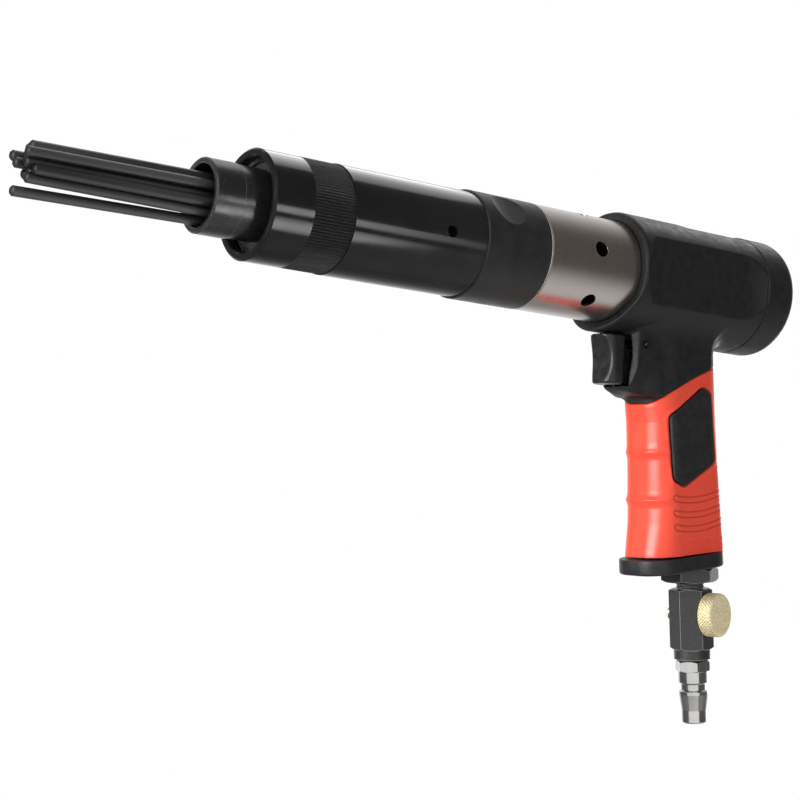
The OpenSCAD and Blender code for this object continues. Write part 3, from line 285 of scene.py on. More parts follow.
finishes = {
    "needle_steel": {"dark": (0.078, 0.078, 0.079), "light": (0.155, 0.153, 0.150),
                     "metal": 0.8, "rough": (0.34, 0.48),
                     "grain": 180, "stretch": (0.06, 1, 1),
                     "bump": 0.12, "bumpScale": 900, "round": 0.2},
    "inner_steel": {"dark": (0.05, 0.05, 0.05), "light": (0.09, 0.088, 0.085),
                    "metal": 1.0, "rough": (0.25, 0.4),
                    "grain": 120, "bump": 0.05, "bumpScale": 1200, "round": 0.3},
    "spring_steel": {"dark": (0.16, 0.16, 0.165), "light": (0.3, 0.3, 0.3),
                     "metal": 1.0, "rough": (0.25, 0.4),
                     "grain": 200, "bump": 0.05, "bumpScale": 1200, "round": 0.2},
    "nose_black": {"dark": (0.012, 0.012, 0.0125), "light": (0.019, 0.019, 0.0196),
                   "metal": 0.0, "rough": (0.22, 0.32),
                   "grain": 90, "bump": 0.06, "bumpScale": 1500, "round": 0.35, "spec": 0.34,
                   "edgeTint": (0.13, 0.13, 0.13), "edgeTintSize": 0.35},
    "sleeve_black": {"dark": (0.0085, 0.0085, 0.0087), "light": (0.0105, 0.0105, 0.0107), "metal": 0.0,
                     "rough": (0.11, 0.16), "grain": 60,
                     "bump": 0.015, "bumpScale": 700, "round": 0.25, "spec": 0.12,
                     "matt": (-0.0514, -0.0326, 0.42)},
    "coupling_grey": {"dark": (0.0170, 0.0170, 0.0173), "light": (0.0250, 0.0248, 0.0248), "metal": 0.05,
                      "rough": (0.34, 0.46), "grain": 140,
                      "bump": 0.12, "bumpScale": 1600, "round": 0.3, "spec": 0.24,
                      # the rear chamfer is painted near-white, as bare metal and as its bright highlight
                      "rim": (0.0661, 0.0664), "rimTint": (0.88, 0.86, 0.83)},
    "exhaust_steel": {"dark": (0.45, 0.415, 0.39), "light": (0.47, 0.432, 0.405),
                      "metal": 1.0, "rough": (0.27, 0.29),
                      "grain": 260, "stretch": (1, 0.03, 0.03), "bump": 0.005, "bumpScale": 2600,
                      "bumpStretch": (1, 0.02, 0.02), "round": 0.25},
    "housing_black": {"dark": (0.0105, 0.0105, 0.0108), "light": (0.0150, 0.0150, 0.0154), "metal": 0.0,
                      "rough": (0.38, 0.50), "grain": 260,
                      "bump": 0.22, "bumpScale": 2300, "spec": 0.22},
    "cap_black": {"dark": (0.0105, 0.0105, 0.0108), "light": (0.0150, 0.0150, 0.0154), "metal": 0.0,
                  "rough": (0.38, 0.50), "grain": 260,
                  "bump": 0.22, "bumpScale": 2300, "round": 0.3, "spec": 0.22},
    "seal_rubber": {"dark": (0.010, 0.010, 0.010), "light": (0.017, 0.0165, 0.016),
                    "metal": 0.0, "rough": (0.6, 0.8),
                    "grain": 150, "bump": 0.1, "bumpScale": 1200, "round": 0.2},
    "trigger_black": {"dark": (0.0110, 0.0110, 0.0113), "light": (0.0165, 0.0165, 0.017), "metal": 0.0,
                      "rough": (0.26, 0.36), "grain": 220,
                      "bump": 0.12, "bumpScale": 1700, "spec": 0.32},
    # the grip's grooves get painted shade through their shade value
    "grip_red": {"dark": (0.65, 0.050, 0.023), "light": (0.71, 0.061, 0.029),
                 "metal": 0.0, "rough": (0.33, 0.39),
                 "grain": 45, "bump": 0.03, "bumpScale": 900, "spec": 0.45, "paintedGrooveShade": 0.62},
    "pad_black": {"dark": (0.0105, 0.0105, 0.0108), "light": (0.0170, 0.0170, 0.0174), "metal": 0.0,
                  "rough": (0.45, 0.6), "grain": 300, "bump": 0.8, "bumpScale": 1300, "spec": 0.28},
    "base_black": {"dark": (0.0120, 0.0120, 0.0123), "light": (0.0180, 0.0180, 0.0184), "metal": 0.0,
                   "rough": (0.34, 0.46), "grain": 240, "bump": 0.15, "bumpScale": 1800, "spec": 0.3},
    "fitting_black": {"dark": (0.025, 0.025, 0.0255), "light": (0.047, 0.0465, 0.0459),
                      "metal": 0.35, "rough": (0.28, 0.36),
                      "grain": 1800, "bump": 0.1, "bumpScale": 2500, "round": 0.25,
                      "edgeTint": (0.5, 0.49, 0.48), "edgeTintSize": 0.36},
    # the knob's knurl grooves get painted shade through their shade value
    "knob_brass": {"dark": (0.62, 0.50, 0.25), "light": (0.92, 0.83, 0.57),
                   "metal": 0.35, "rough": (0.32, 0.46),
                   "grain": 1300, "bump": 0.5, "bumpScale": 2000, "paintedGrooveShade": 0.5},
    "throttle_brass": {"dark": (0.60, 0.44, 0.18), "light": (0.74, 0.57, 0.28),
                       "metal": 1.0, "rough": (0.22, 0.34),
                       "grain": 200, "bump": 0.05, "bumpScale": 1500, "round": 0.2},
    "plug_steel": {"dark": (0.50, 0.50, 0.495), "light": (0.58, 0.575, 0.565),
                   "metal": 1.0, "rough": (0.13, 0.18),
                   "grain": 160, "bump": 0.015, "bumpScale": 1500, "round": 0.2},
}


# A noise on the piece's own coordinates, stretched along an axis where the finish has a direction
def addNoise(tree, coords, scale, stretch, detail):
    shift = tree.nodes.new("ShaderNodeMapping")
    shift.inputs["Scale"].default_value = stretch
    noise = tree.nodes.new("ShaderNodeTexNoise")
    noise.inputs["Scale"].default_value = scale
    noise.inputs["Detail"].default_value = detail
    tree.links.new(coords.outputs["Object"], shift.inputs["Vector"])
    tree.links.new(shift.outputs[0], noise.inputs["Vector"])
    return noise


# Shared by all finishes: the noise values that count as dark and as light, the agreement of the two normals
# where an edge starts to turn lighter and where it takes the full edge colour, and the height of the fine
# noise in metres
finishSpans = {"noise": (0.35, 0.65), "edgeShare": (0.995, 0.90), "lift": 0.0003}


# Colour and roughness swing between two values with one noise; a finer noise lifts the surface;
# a bevel softens hard edges, and where the bevelled normal leaves the true one the edge is painted lighter
def makeFinish(name, look):
    material = bpy.data.materials.new("finish_" + name)
    material.use_nodes = True
    tree = material.node_tree
    shader = tree.nodes["Principled BSDF"]
    shader.inputs["Metallic"].default_value = look["metal"]
    shader.inputs["Specular IOR Level"].default_value = look.get("spec", 0.5)
    coords = tree.nodes.new("ShaderNodeTexCoord")
    stretch = look.get("stretch", (1, 1, 1))
    noise = addNoise(tree, coords, look["grain"], stretch, 4.0)
    spread = tree.nodes.new("ShaderNodeMapRange")
    spread.inputs["From Min"].default_value = finishSpans["noise"][0]
    spread.inputs["From Max"].default_value = finishSpans["noise"][1]
    tree.links.new(noise.outputs["Fac"], spread.inputs["Value"])
    colour = addMix(tree, spread.outputs[0], look["dark"], look["light"])
    dull = tree.nodes.new("ShaderNodeMapRange")
    dull.inputs["To Min"].default_value = look["rough"][0]
    dull.inputs["To Max"].default_value = look["rough"][1]
    tree.links.new(spread.outputs[0], dull.inputs["Value"])
    rough = dull.outputs[0]
    if "matt" in look:  # a duller band along the barrel
        split = tree.nodes.new("ShaderNodeSeparateXYZ")
        tree.links.new(coords.outputs["Object"], split.inputs[0])
        start, end, value = look["matt"]
        inside = tree.nodes.new("ShaderNodeMath")
        inside.operation = "MULTIPLY"
        tree.links.new(addStep(tree, split.outputs["X"], (start - 0.0001, start)), inside.inputs[0])
        tree.links.new(addStep(tree, split.outputs["X"], (end + 0.0001, end)), inside.inputs[1])
        band = tree.nodes.new("ShaderNodeMix")
        band.inputs["B"].default_value = value
        tree.links.new(inside.outputs[0], band.inputs["Factor"])
        tree.links.new(rough, band.inputs["A"])
        rough = band.outputs["Result"]
    tree.links.new(rough, shader.inputs["Roughness"])
    fine = addNoise(tree, coords, look["bumpScale"], look.get("bumpStretch", (1, 1, 1)), 2.0)
    bump = tree.nodes.new("ShaderNodeBump")
    bump.inputs["Strength"].default_value = look["bump"]
    bump.inputs["Distance"].default_value = finishSpans["lift"]
    tree.links.new(fine.outputs["Fac"], bump.inputs["Height"])
    if "round" in look:
        soft = tree.nodes.new("ShaderNodeBevel")
        soft.samples = 4
        soft.inputs["Radius"].default_value = look["round"] * mm
        tree.links.new(soft.outputs[0], bump.inputs["Normal"])
    # Edges painted a lighter colour where the bevelled normal leaves the true one
    if "edgeTint" in look:
        wide = tree.nodes.new("ShaderNodeBevel")
        wide.samples = 8
        wide.inputs["Radius"].default_value = look["edgeTintSize"] * mm
        shape = tree.nodes.new("ShaderNodeNewGeometry")
        meet = tree.nodes.new("ShaderNodeVectorMath")
        meet.operation = "DOT_PRODUCT"
        tree.links.new(wide.outputs[0], meet.inputs[0])
        tree.links.new(shape.outputs["Normal"], meet.inputs[1])
        edgeShare = tree.nodes.new("ShaderNodeMapRange")
        edgeShare.inputs["From Min"].default_value = finishSpans["edgeShare"][0]
        edgeShare.inputs["From Max"].default_value = finishSpans["edgeShare"][1]
        tree.links.new(meet.outputs["Value"], edgeShare.inputs["Value"])
        colour = addMix(tree, edgeShare.outputs[0], colour, look["edgeTint"])
    if "rim" in look:  # bare-metal colour behind a place along the barrel, on the rear chamfer, lightened to paint in the chamfer's bright highlight
        split = tree.nodes.new("ShaderNodeSeparateXYZ")
        tree.links.new(coords.outputs["Object"], split.inputs[0])
        chamferHighlight = addStep(tree, split.outputs["X"], look["rim"])
        colour = addMix(tree, chamferHighlight, colour, look["rimTint"])
    if "paintedGrooveShade" in look:  # painted shade: darker where the piece's own shade value marks a groove, standing in for the shadow that falls in it
        mark = tree.nodes.new("ShaderNodeAttribute")
        mark.attribute_name = "shade"
        colour = addMix(tree, mark.outputs["Fac"], colour, tuple(look["paintedGrooveShade"] * v for v in look["dark"]))
    tree.links.new(bump.outputs[0], shader.inputs["Normal"])
    tree.links.new(colour, shader.inputs["Base Color"])
    return material


materials = {name: makeFinish(name, look) for name, look in finishes.items()}
for holder in nodes.values():
    for place in holder.material_slots:
        place.material = materials[place.material.name.split(".")[0]]
print("finishes made:", len(materials))


# Shared shapes

# A smooth step from 0 to 1
def ease(t):
    t = np.clip(t, 0, 1)
    return t * t * (3 - 2 * t)


# The larger of two fields, rounded over a band of width k where they meet
def smoothMax(a, b, k):
    h = np.clip(0.5 + 0.5 * (a - b) / k, 0, 1)
    return b + (a - b) * h + k * h * (1 - h)


# The smaller of two fields, filleted over a band of width k where they meet
def smoothMin(a, b, k):
    return -smoothMax(-a, -b, k)


# Distance to a rectangle of half sizes a and b with corners rounded by r
def rectField(u, v, a, b, r):
    du = np.abs(u) - (a - r)
    dv = np.abs(v) - (b - r)
    return np.minimum(np.maximum(du, dv), 0) + np.hypot(np.maximum(du, 0), np.maximum(dv, 0)) - r


# The slope of a field by small steps along each axis
def fieldSlope(field, points, small=0.02):
    steps = np.eye(3) * small
    return np.stack([field(*(points + s).T) - field(*(points - s).T) for s in steps], 1) / (2 * small)


# The surface where a field is zero: one point per grid cell that it crosses, at the mean of the cell's
# crossings, one face per crossed grid edge, and every point then drawn onto the surface along the slope
def netSurface(field, low, high, step):
    axes = [np.arange(a, b + step, step) for a, b in zip(low, high)]
    value = field(*np.meshgrid(*axes, indexing="ij"))
    cells = np.array(value.shape) - 1
    total = np.zeros((*cells, 3))
    hits = np.zeros(cells)
    found = []
    for axis in range(3):
        one, two = (axis + 1) % 3, (axis + 2) % 3
        first = np.take(value, np.arange(cells[axis]), axis)
        second = np.take(value, np.arange(1, cells[axis] + 1), axis)
        crossed = (first < 0) != (second < 0)
        share = np.zeros(crossed.shape)
        share[crossed] = first[crossed] / (first[crossed] - second[crossed])
        for p in (0, 1):
            for q in (0, 1):
                window = [slice(None)] * 3
                window[one] = slice(p, p + cells[one])
                window[two] = slice(q, q + cells[two])
                here = crossed[tuple(window)]
                hits += here
                total[..., axis] += share[tuple(window)]
                total[..., one] += p * here
                total[..., two] += q * here
        found.append((np.argwhere(crossed), first[crossed] < 0))
    live = hits > 0
    number = np.full(cells, -1)
    number[live] = np.arange(live.sum())
    points = np.array(low) + step * (np.argwhere(live) + total[live] / hits[live][:, None])
    quads = []
    for axis, (edges, inward) in enumerate(found):
        one, two = (axis + 1) % 3, (axis + 2) % 3
        ring = []
        for p, q in ((1, 1), (0, 1), (0, 0), (1, 0)):
            at = edges.copy()
            at[:, one] -= p
            at[:, two] -= q
            ring.append(number[tuple(at.T)])
        ring = np.stack(ring, 1)
        ring[~inward] = ring[~inward][:, ::-1]
        quads.append(ring)
    for _ in range(3):
        slope = fieldSlope(field, points)
        move = slope * (field(*points.T) / np.maximum((slope ** 2).sum(1), 0.05))[:, None]
        points = points - np.clip(move, -0.5 * step, 0.5 * step)
    slope = fieldSlope(field, points)
    return points, np.concatenate(quads), slope / np.maximum(np.linalg.norm(slope, axis=1), 1e-9)[:, None]


# Places round a rounded rectangle at even steps of its length: the share of the way to each side of its
# inner corners, and the direction that the outline faces
def roundOutline(a, b, r, count):
    arc = np.pi * r / 2
    runs = np.cumsum([0, 2 * (b - r), arc, 2 * (a - r), arc, 2 * (b - r), arc, 2 * (a - r), arc])
    at = (np.arange(count) + 0.5) / count * runs[-1]
    across = np.interp(at, runs, [1, 1, 1, -1, -1, -1, -1, 1, 1])
    along = np.interp(at, runs, [-1, 1, 1, 1, 1, -1, -1, -1, -1])
    turn = np.interp(at, runs, np.radians([0, 0, 90, 90, 180, 180, 270, 270, 360]))
    return across, along, np.cos(turn), np.sin(turn)


# Faces of a grid whose columns close into rings; the rows close too if looped
def gridFaces(rows, cols, looped=False):
    i = np.arange(rows if looped else rows - 1)[:, None]
    k = np.arange(cols)[None]
    below = (i + 1) % rows
    right = (k + 1) % cols
    corners = [i * cols + k, i * cols + right, below * cols + right, below * cols + k]
    return np.stack(corners, -1).reshape(-1, 4)


# Triangles from one point to a ring of a grid
def fanFaces(tip, start, cols):
    k = np.arange(cols)
    return np.stack([np.full(cols, tip), start + k, start + (k + 1) % cols], 1)


# Faces of a grid of rings with a point closing each end; the two points follow the grid
def closedFaces(rows, cols):
    tip = rows * cols
    ends = [fanFaces(tip, 0, cols)[:, ::-1], fanFaces(tip + 1, (rows - 1) * cols, cols)]
    return [gridFaces(rows, cols), *ends]


# Volume inside a closed set of faces, by the signed volumes to the origin
def signedVolume(points, faces):
    total = 0.0
    for group in faces:
        for k in range(1, group.shape[1] - 1):
            a, b, c = (points[group[:, n]] for n in (0, k, k + 1))
            total += (a * np.cross(b, c)).sum() / 6
    return total


# A new piece from points in millimetres and groups of faces, turned to face outwards, riding on a body
def addPiece(name, points, groups, body, slotName, replaced=(), normals=None, shade=None):
    if signedVolume(points, groups) < 0:
        groups = [g[:, ::-1] for g in groups]
    mesh = bpy.data.meshes.new(name)
    sizes = np.concatenate([np.full(len(g), g.shape[1]) for g in groups])
    corners = np.concatenate([g.ravel() for g in groups])
    mesh.vertices.add(len(points))
    mesh.vertices.foreach_set("co", (points * mm).astype(np.float32).ravel())
    mesh.loops.add(len(corners))
    mesh.loops.foreach_set("vertex_index", corners.astype(np.int32))
    mesh.polygons.add(len(sizes))
    mesh.polygons.foreach_set("loop_start", (np.cumsum(sizes) - sizes).astype(np.int32))
    mesh.polygons.foreach_set("loop_total", sizes.astype(np.int32))
    mesh.update(calc_edges=True)
    mesh.validate()
    mesh.shade_smooth()
    if normals is not None:
        mesh.normals_split_custom_set_from_vertices(normals.tolist())
    if shade is not None:
        mark = mesh.attributes.new("shade", "FLOAT", "POINT")
        mark.data.foreach_set("value", shade.astype(np.float32).ravel())
    mesh.materials.append(materials[slotName])
    piece = bpy.data.objects.new(name, mesh)
    scene.collection.objects.link(piece)
    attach(piece, body)
    if replaced:
        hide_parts(*replaced)
    print("piece", name, len(points), "points")
    return piece


# The handle leans back: its own frame is u rearward, y across and t down from the barrel axis
handle = {"at": 155.0, "lean": np.radians(6.5), "half": 20.4, "wide": 15.5, "round": 12.0, "low": 125.0}
leanCos, leanSin = np.cos(handle["lean"]), np.sin(handle["lean"])


# Into the frame: u and t turned by the lean about the handle's place on the barrel axis
def fromHandle(u, y, t):
    return np.stack([handle["at"] + u * leanCos + t * leanSin, y + 0 * u, u * leanSin - t * leanCos], -1)


# The same turn the other way
def toHandle(x, z):
    return (x - handle["at"]) * leanCos + z * leanSin, (x - handle["at"]) * leanSin - z * leanCos


# Height of the parting line between neck and grip: low at the front, rising in a curve to the back
parting = {"front": 58.2, "rear": 36.0, "from": 137.6, "to": 182.0, "curve": 1.4, "ease": 0.2,
           "search": (20.0, 90.0)}


def partingLine(x):
    u = np.clip((x - parting["from"]) / (parting["to"] - parting["from"]), 0, 1)
    rise = (1 - (1 - u) ** parting["curve"]) * ease(u / parting["ease"])
    return -parting["front"] + (parting["front"] - parting["rear"]) * rise


# Distance down the handle at which a wall of points (u, y) for each t meets the parting line, by halving
def partingDepth(wall, count):
    low = np.full(count, parting["search"][0])
    high = np.full(count, parting["search"][1])
    for _ in range(40):
        mid = (low + high) / 2
        u, y = wall(mid[None])
        at = fromHandle(u[0], y[0], mid)
        above = at[:, 2] > partingLine(at[:, 0])
        low = np.where(above, mid, low)
        high = np.where(above, high, mid)
    return high


# Housing: barrel with collar, side flats and top flat, the neck and trigger guard, and what is bored out

housingShape = {
    "radius": 27.5, "front": 117.5, "rear": 194.5,
    "flatAt": 23.1, "flatFront": 121.1, "flatBow": 3.9, "flatHalf": 14.9, "flatRise": (181.0, 4.0),
    "bowMost": 1.2, "rampSlope": 0.9, "rampLead": 0.3, "rampGain": 0.88, "rampSoft": 0.06,
    "topAt": 25.2, "topFrom": 148.5, "topTo": 156.5,
    "sideMeet": (129.3, 12.0), "sideTaper": 0.17, "noseDepth": 3.4, "noseHalf": 12.3,
    "noseScale": 0.87, "neckTop": -6.0, "drawAt": -41.0, "drawBend": 0.022, "drawSlope": 0.09,
    "drawFrom": 128.0, "drawRun": 14.0, "fillet": (2.0, 5.0), "filletFrom": 128.0, "filletRun": 15.0,
    "tongueReach": 6.5, "tongueFrom": -12.0, "tongueRun": 16.5,
    "guardFront": 125.9, "guardRear": 171.4, "guardTip": 51.6, "guardLow": 54.4, "guardSweep": 12.0,
    "slotHalf": 7.8, "slotInner": 5.3, "slotTop": -27.7, "slotLow": -50.6, "slotEnd": 131.4,
    "shankEnd": 138.6, "tailEnd": 144.4, "tailLow": -34.8,
    "mouthRoom": 1.9, "mouthAt": -37.0, "mouthHalf": 8.0, "mouthEnd": 130.0, "mouthRun": 4.0,
    "pin": (133.2, -31.7, 1.5), "exhaustR": 23.25, "exhaustEnd": 120.7, "boreR": 19.0, "threadR": 21.1,
    "threadFrom": 182.9, "valveAt": -42.0, "valveR": 6.55, "chamberR": 7.0, "valveFrom": 138.6,
    "chamberFrom": 154.6, "chamberTo": 174.6,
    "box": ((109.0, -28.7, -60.5), (195.7, 28.7, 28.7)), "step": 0.6,
}


# A box open towards -X, as a field
def slotField(x, y, z, end, half, low, top):
    return np.maximum(np.maximum(x - end, np.abs(y) - half), np.maximum(z - top, low - z))


# A round bar cut by the side flats, the top flat and the slanting front, joined to a neck of rounded plan
# that ends at the parting line, less the bores and the trigger's slot. The last value in each smoothMax
# or smoothMin is the width of that rounding
def housingField(x, y, z):
    g = housingShape
    rho = np.hypot(y, z)
    bow = g["flatBow"] * np.minimum(g["bowMost"], (z / g["flatHalf"]) ** 2)
    climb = g["rampSlope"] * (g["flatFront"] + bow - x) + g["rampLead"]
    riseFrom, rise = g["flatRise"]
    back = rise * (np.maximum(0, x - riseFrom) / (g["rear"] - riseFrom)) ** 2
    wall = g["flatAt"] + g["rampGain"] * (climb + np.sqrt(climb * climb + g["rampSoft"])) + back
    barrel = smoothMax(rho - g["radius"], np.abs(y) - wall, 0.4)
    dip = ease((x - g["topFrom"]) / (g["topTo"] - g["topFrom"]))
    top = g["radius"] + 0.3 - (g["radius"] + 0.3 - g["topAt"]) * dip
    barrel = smoothMax(barrel, z - top, 0.8)
    slant = (g["tongueFrom"] - z) / g["tongueRun"]
    slant = 0.5 * (slant + np.sqrt(slant * slant + 0.01))
    barrel = smoothMax(barrel, g["front"] - g["tongueReach"] * np.minimum(slant, 1) - x, 2.2)
    barrel = smoothMax(barrel, x - g["rear"], 0.5)
    u, t = toHandle(x, z)
    column = rectField(u, y, handle["half"], handle["wide"], handle["round"])
    low = np.maximum(0, g["drawAt"] - z)
    drawn = g["drawBend"] * low * low + g["drawSlope"] * low
    drawn = drawn * (1 - ease((x - g["drawFrom"]) / g["drawRun"]))
    sides = np.abs(y) - g["sideMeet"][1] - g["sideTaper"] * (x - g["sideMeet"][0]) + drawn
    sides = smoothMax(sides, np.abs(y) - handle["wide"], 3.0)
    nose = (g["guardFront"] + g["noseDepth"] * (y / g["noseHalf"]) ** 2 - x) * g["noseScale"]
    guard = smoothMax(smoothMax(sides, nose, 0.4), x - g["guardRear"], 2.0)
    sweep = np.clip((x - g["guardFront"]) / g["guardSweep"], 0, 1)
    under = -g["guardTip"] - (g["guardLow"] - g["guardTip"]) * sweep * (2 - sweep)
    guard = smoothMax(guard, under - z, 2.6)
    neck = smoothMin(guard, column, 2.0)
    neck = smoothMax(neck, partingLine(x) - z, 0.5)
    neck = smoothMax(neck, z - g["neckTop"], 2.0)
    fillet = g["fillet"][0] + g["fillet"][1] * ease((x - g["filletFrom"]) / g["filletRun"])
    whole = smoothMin(barrel, neck, fillet)
    whole = smoothMax(whole, -np.maximum(rho - g["exhaustR"], x - g["exhaustEnd"]), 0.3)
    whole = smoothMax(whole, g["boreR"] - rho, 0.2)
    whole = smoothMax(whole, -np.maximum(rho - g["threadR"], g["threadFrom"] - x), 0.2)
    room = g["mouthRoom"] * np.maximum(0, 1 - ((z - g["mouthAt"]) / g["mouthHalf"]) ** 2)
    room = room * np.clip((g["mouthEnd"] - x) / g["mouthRun"], 0, 1)
    slot = slotField(x, y, z, g["slotEnd"], g["slotHalf"] + room, g["slotLow"], g["slotTop"])
    slot = np.minimum(slot, slotField(x, y, z, g["shankEnd"], g["slotInner"], g["slotLow"], g["slotTop"]))
    slot = np.minimum(slot, slotField(x, y, z, g["tailEnd"], g["slotInner"], g["tailLow"], g["slotTop"]))
    whole = smoothMax(whole, -slot, 0.9)
    away = np.hypot(y, z - g["valveAt"])
    valve = np.maximum(away - g["valveR"], np.maximum(g["valveFrom"] - x, x - g["chamberTo"]))
    chamber = np.maximum(away - g["chamberR"], np.maximum(g["chamberFrom"] - x, x - g["chamberTo"]))
    whole = smoothMax(whole, -np.minimum(valve, chamber), 0.2)
    pinX, pinZ, pinR = g["pin"]
    return smoothMax(whole, pinR - np.hypot(x - pinX, z - pinZ), 0.3)


# The core of the handle inside the grip, below the parting line, with the air bore up through it
coreShape = {"half": 15.8, "wide": 10.9, "round": 7.4, "low": 124.9,
             "inlet": 9.5, "air": 3.5, "airFrom": 36.0, "nose": 5.65, "noseFrom": 118.0,
             "box": ((130.0, -12.4, -127.5), (189.0, 12.4, -32.0)), "step": 1.0}


# A rounded bar along the handle, less the air bore, the wider bore at its foot and the throttle's chamber
def coreField(x, y, z):
    g = coreShape
    u, t = toHandle(x, z)
    core = rectField(u, y, g["half"], g["wide"], g["round"])
    core = smoothMax(core, t - g["low"], 0.4)
    core = smoothMax(core, z - partingLine(x) + 0.05, 0.3)
    away = np.hypot(u - g["inlet"], y)
    air = np.maximum(away - g["air"], g["airFrom"] - t)
    foot = np.maximum(away - g["nose"], g["noseFrom"] - t)
    core = smoothMax(core, -np.minimum(air, foot), 0.3)
    h = housingShape
    chamber = np.maximum(np.hypot(y, z - h["valveAt"]) - h["chamberR"], x - h["chamberTo"])
    return smoothMax(core, -chamber, 0.3)


points, quads, slope = netSurface(housingField, *housingShape["box"], housingShape["step"])
addPiece("housing_body", points, [quads], "tool", "housing_black", ["housing"], slope)
points, quads, slope = netSurface(coreField, *coreShape["box"], coreShape["step"])
addPiece("handle_core", points, [quads], "tool", "housing_black", (), slope)


# Trigger: a finger block with round front edges and a scooped face, on a shank and a tail

triggerShape = {
    "front": 114.4, "top": -28.0, "low": -50.3, "back": 124.6,
    "half": 7.5, "halfDepth": 9.0, "edge": 5.2, "scoop": 2.6, "lip": 1.2, "overlap": 1.0,
    "shankHalf": 5.0, "shankEnd": 130.6, "tailEnd": 138.1, "tailLow": -34.5,
    "pinAt": -31.7, "pinHalf": 1.8, "pinFront": 125.4, "pinRear": 135.0,
    "box": ((112.9, -8.6, -51.6), (139.4, 8.6, -27.6)), "step": 0.33,
}


# A rounded block along the handle's lean, less a cylinder across it that leaves a lip above and below,
# joined to two plain bars, less the slot for the pin
def triggerField(x, y, z):
    g = triggerShape
    tall = g["top"] - g["low"]
    px, pz = x - g["front"], z - g["top"]
    behind = px * leanCos + pz * leanSin
    block = rectField(behind - g["halfDepth"], y, g["halfDepth"], g["half"], g["edge"])
    block = smoothMax(block, np.maximum(z - g["top"], g["low"] - z), 1.3)
    reach = tall / 2 / leanCos - g["lip"]
    radius = (reach ** 2 + g["scoop"] ** 2) / (2 * g["scoop"])
    cx = tall * leanSin / leanCos / 2 - (radius - g["scoop"]) * leanCos
    cz = -tall / 2 - (radius - g["scoop"]) * leanSin
    block = smoothMax(block, radius - np.hypot(px - cx, pz - cz), 1.0)
    block = smoothMax(block, x - g["back"], 0.6)
    ahead = g["back"] - g["overlap"] - x
    shank = np.maximum(np.maximum(x - g["shankEnd"], ahead), np.abs(y) - g["shankHalf"])
    shank = np.maximum(shank, np.maximum(z - g["top"], g["low"] + g["overlap"] - z))
    tail = np.maximum(np.maximum(x - g["tailEnd"], ahead), np.abs(y) - g["shankHalf"])
    tail = np.maximum(tail, np.maximum(z - g["top"], g["tailLow"] - z))
    whole = smoothMin(smoothMin(block, shank, 0.4), tail, 0.4)
    pin = np.maximum(g["pinFront"] - x, x - g["pinRear"])
    pin = np.maximum(pin, np.abs(z - g["pinAt"]) - g["pinHalf"])
    return smoothMax(whole, -pin, 0.3)


points, quads, slope = netSurface(triggerField, *triggerShape["box"], triggerShape["step"])
addPiece("trigger_block", points, [quads], "trigger", "trigger_black", ["trigger"], slope)


# Grip: a wall round the handle from the parting line to the base plate, with finger ridges at the front,
# a crease before the side panel, swept grooves, a plain recess and the pockets of the pads

gripShape = {
    "flare": 2.8, "flarePower": 1.3, "ridgeAt": (77.5, 99.3), "ridgeAbove": 4.6, "ridgeBelow": 4.0,
    "ridgeSoft": 0.1, "traceHalf": 21.5, "basePivot": -18.0, "rollShare": 0.6, "innerRows": 10,
    "hollowT": (57, 64, 75, 80, 96, 102, 110, 124), "hollowDeep": (0, 0.9, 1.1, 1.7, 1.8, 2.2, 2.0, 0),
    "creaseT": (62, 69, 76.5, 82.4, 90, 98.8, 109, 120, 125),
    "creaseU": (-15, -14.6, -14.6, -14.4, -13.2, -11.4, -9.7, -9.0, -8.9),
    "creaseDeep": 0.45, "creaseWide": 0.9, "panelTaper": 0.03, "taperFrom": 84.0, "taperRun": 10.0,
    "panelTop": 60.0, "panelRun": 8.0, "panelTurn": 2.5, "panelRear": 18.0, "panelFade": 10.0,
    "grooveT": (98.2, 104.9, 111.3), "grooveFrom": -12.0, "grooveTo": 21.0, "grooveHalf": 1.3,
    "grooveDeep": 0.55, "grooveWide": 0.32, "grooveSag": 1.4, "grooveMiddle": -1.0, "grooveSpan": 13.0,
    "grooveFade": 1.5, "recessWide": 0.7, "beadAt": 1.2, "beadWide": 0.6, "pocketWide": 0.35,
    "recess": (-9.6, 17.0, 117.3, 123.6), "recessDeep": 0.4, "baseTilt": 0.028, "bead": 0.25,
    "pocketGap": 0.5, "pocketDeep": 1.6, "inner": (15.95, 11.05, 7.55), "seam": 0.18, "topRoll": 0.7,
    "columns": 380, "rows": 220,
}

padShape = {
    "corners": ((-13.8, 61.3), (-13, 90.2), (-7.3, 93.5), (13.4, 82.6), (11.6, 51.6), (6, 48.7)),
    "round": 3.0, "half": 20.8, "proud": 0.6, "deep": 1.5, "roll": 0.7, "dome": 0.25, "domeSink": 0.6,
    "farthest": 60.0, "columns": 200, "rows": 26,
}


# The centres that the pad's round corners turn about: each corner moved in along its own middle line
def padCentres():
    corner = np.array(padShape["corners"], float)
    before = np.roll(corner, 1, 0) - corner
    after = np.roll(corner, -1, 0) - corner
    before /= np.linalg.norm(before, axis=1)[:, None]
    after /= np.linalg.norm(after, axis=1)[:, None]
    middle = before + after
    middle /= np.linalg.norm(middle, axis=1)[:, None]
    half = np.arccos((before * after).sum(1)) / 2
    return corner + middle * (padShape["round"] / np.sin(half))[:, None]


# Distance to the pad's outline: distance to the polygon of its corner centres, less the corner radius
def padField(u, t):
    centre = padCentres()
    best = np.full(np.shape(u), 1e9)
    sign = np.ones(np.shape(u))
    for a, b in zip(centre, np.roll(centre, -1, 0)):
        side = b - a
        wu, wt = u - a[0], t - a[1]
        share = np.clip((wu * side[0] + wt * side[1]) / (side @ side), 0, 1)
        best = np.minimum(best, np.hypot(wu - share * side[0], wt - share * side[1]))
        over = (a[1] <= t) != (b[1] <= t)
        cross = side[0] * wt - side[1] * wu
        sign = np.where(over & ((cross > 0) == (b[1] > a[1])), -sign, sign)
    return sign * best - padShape["round"]


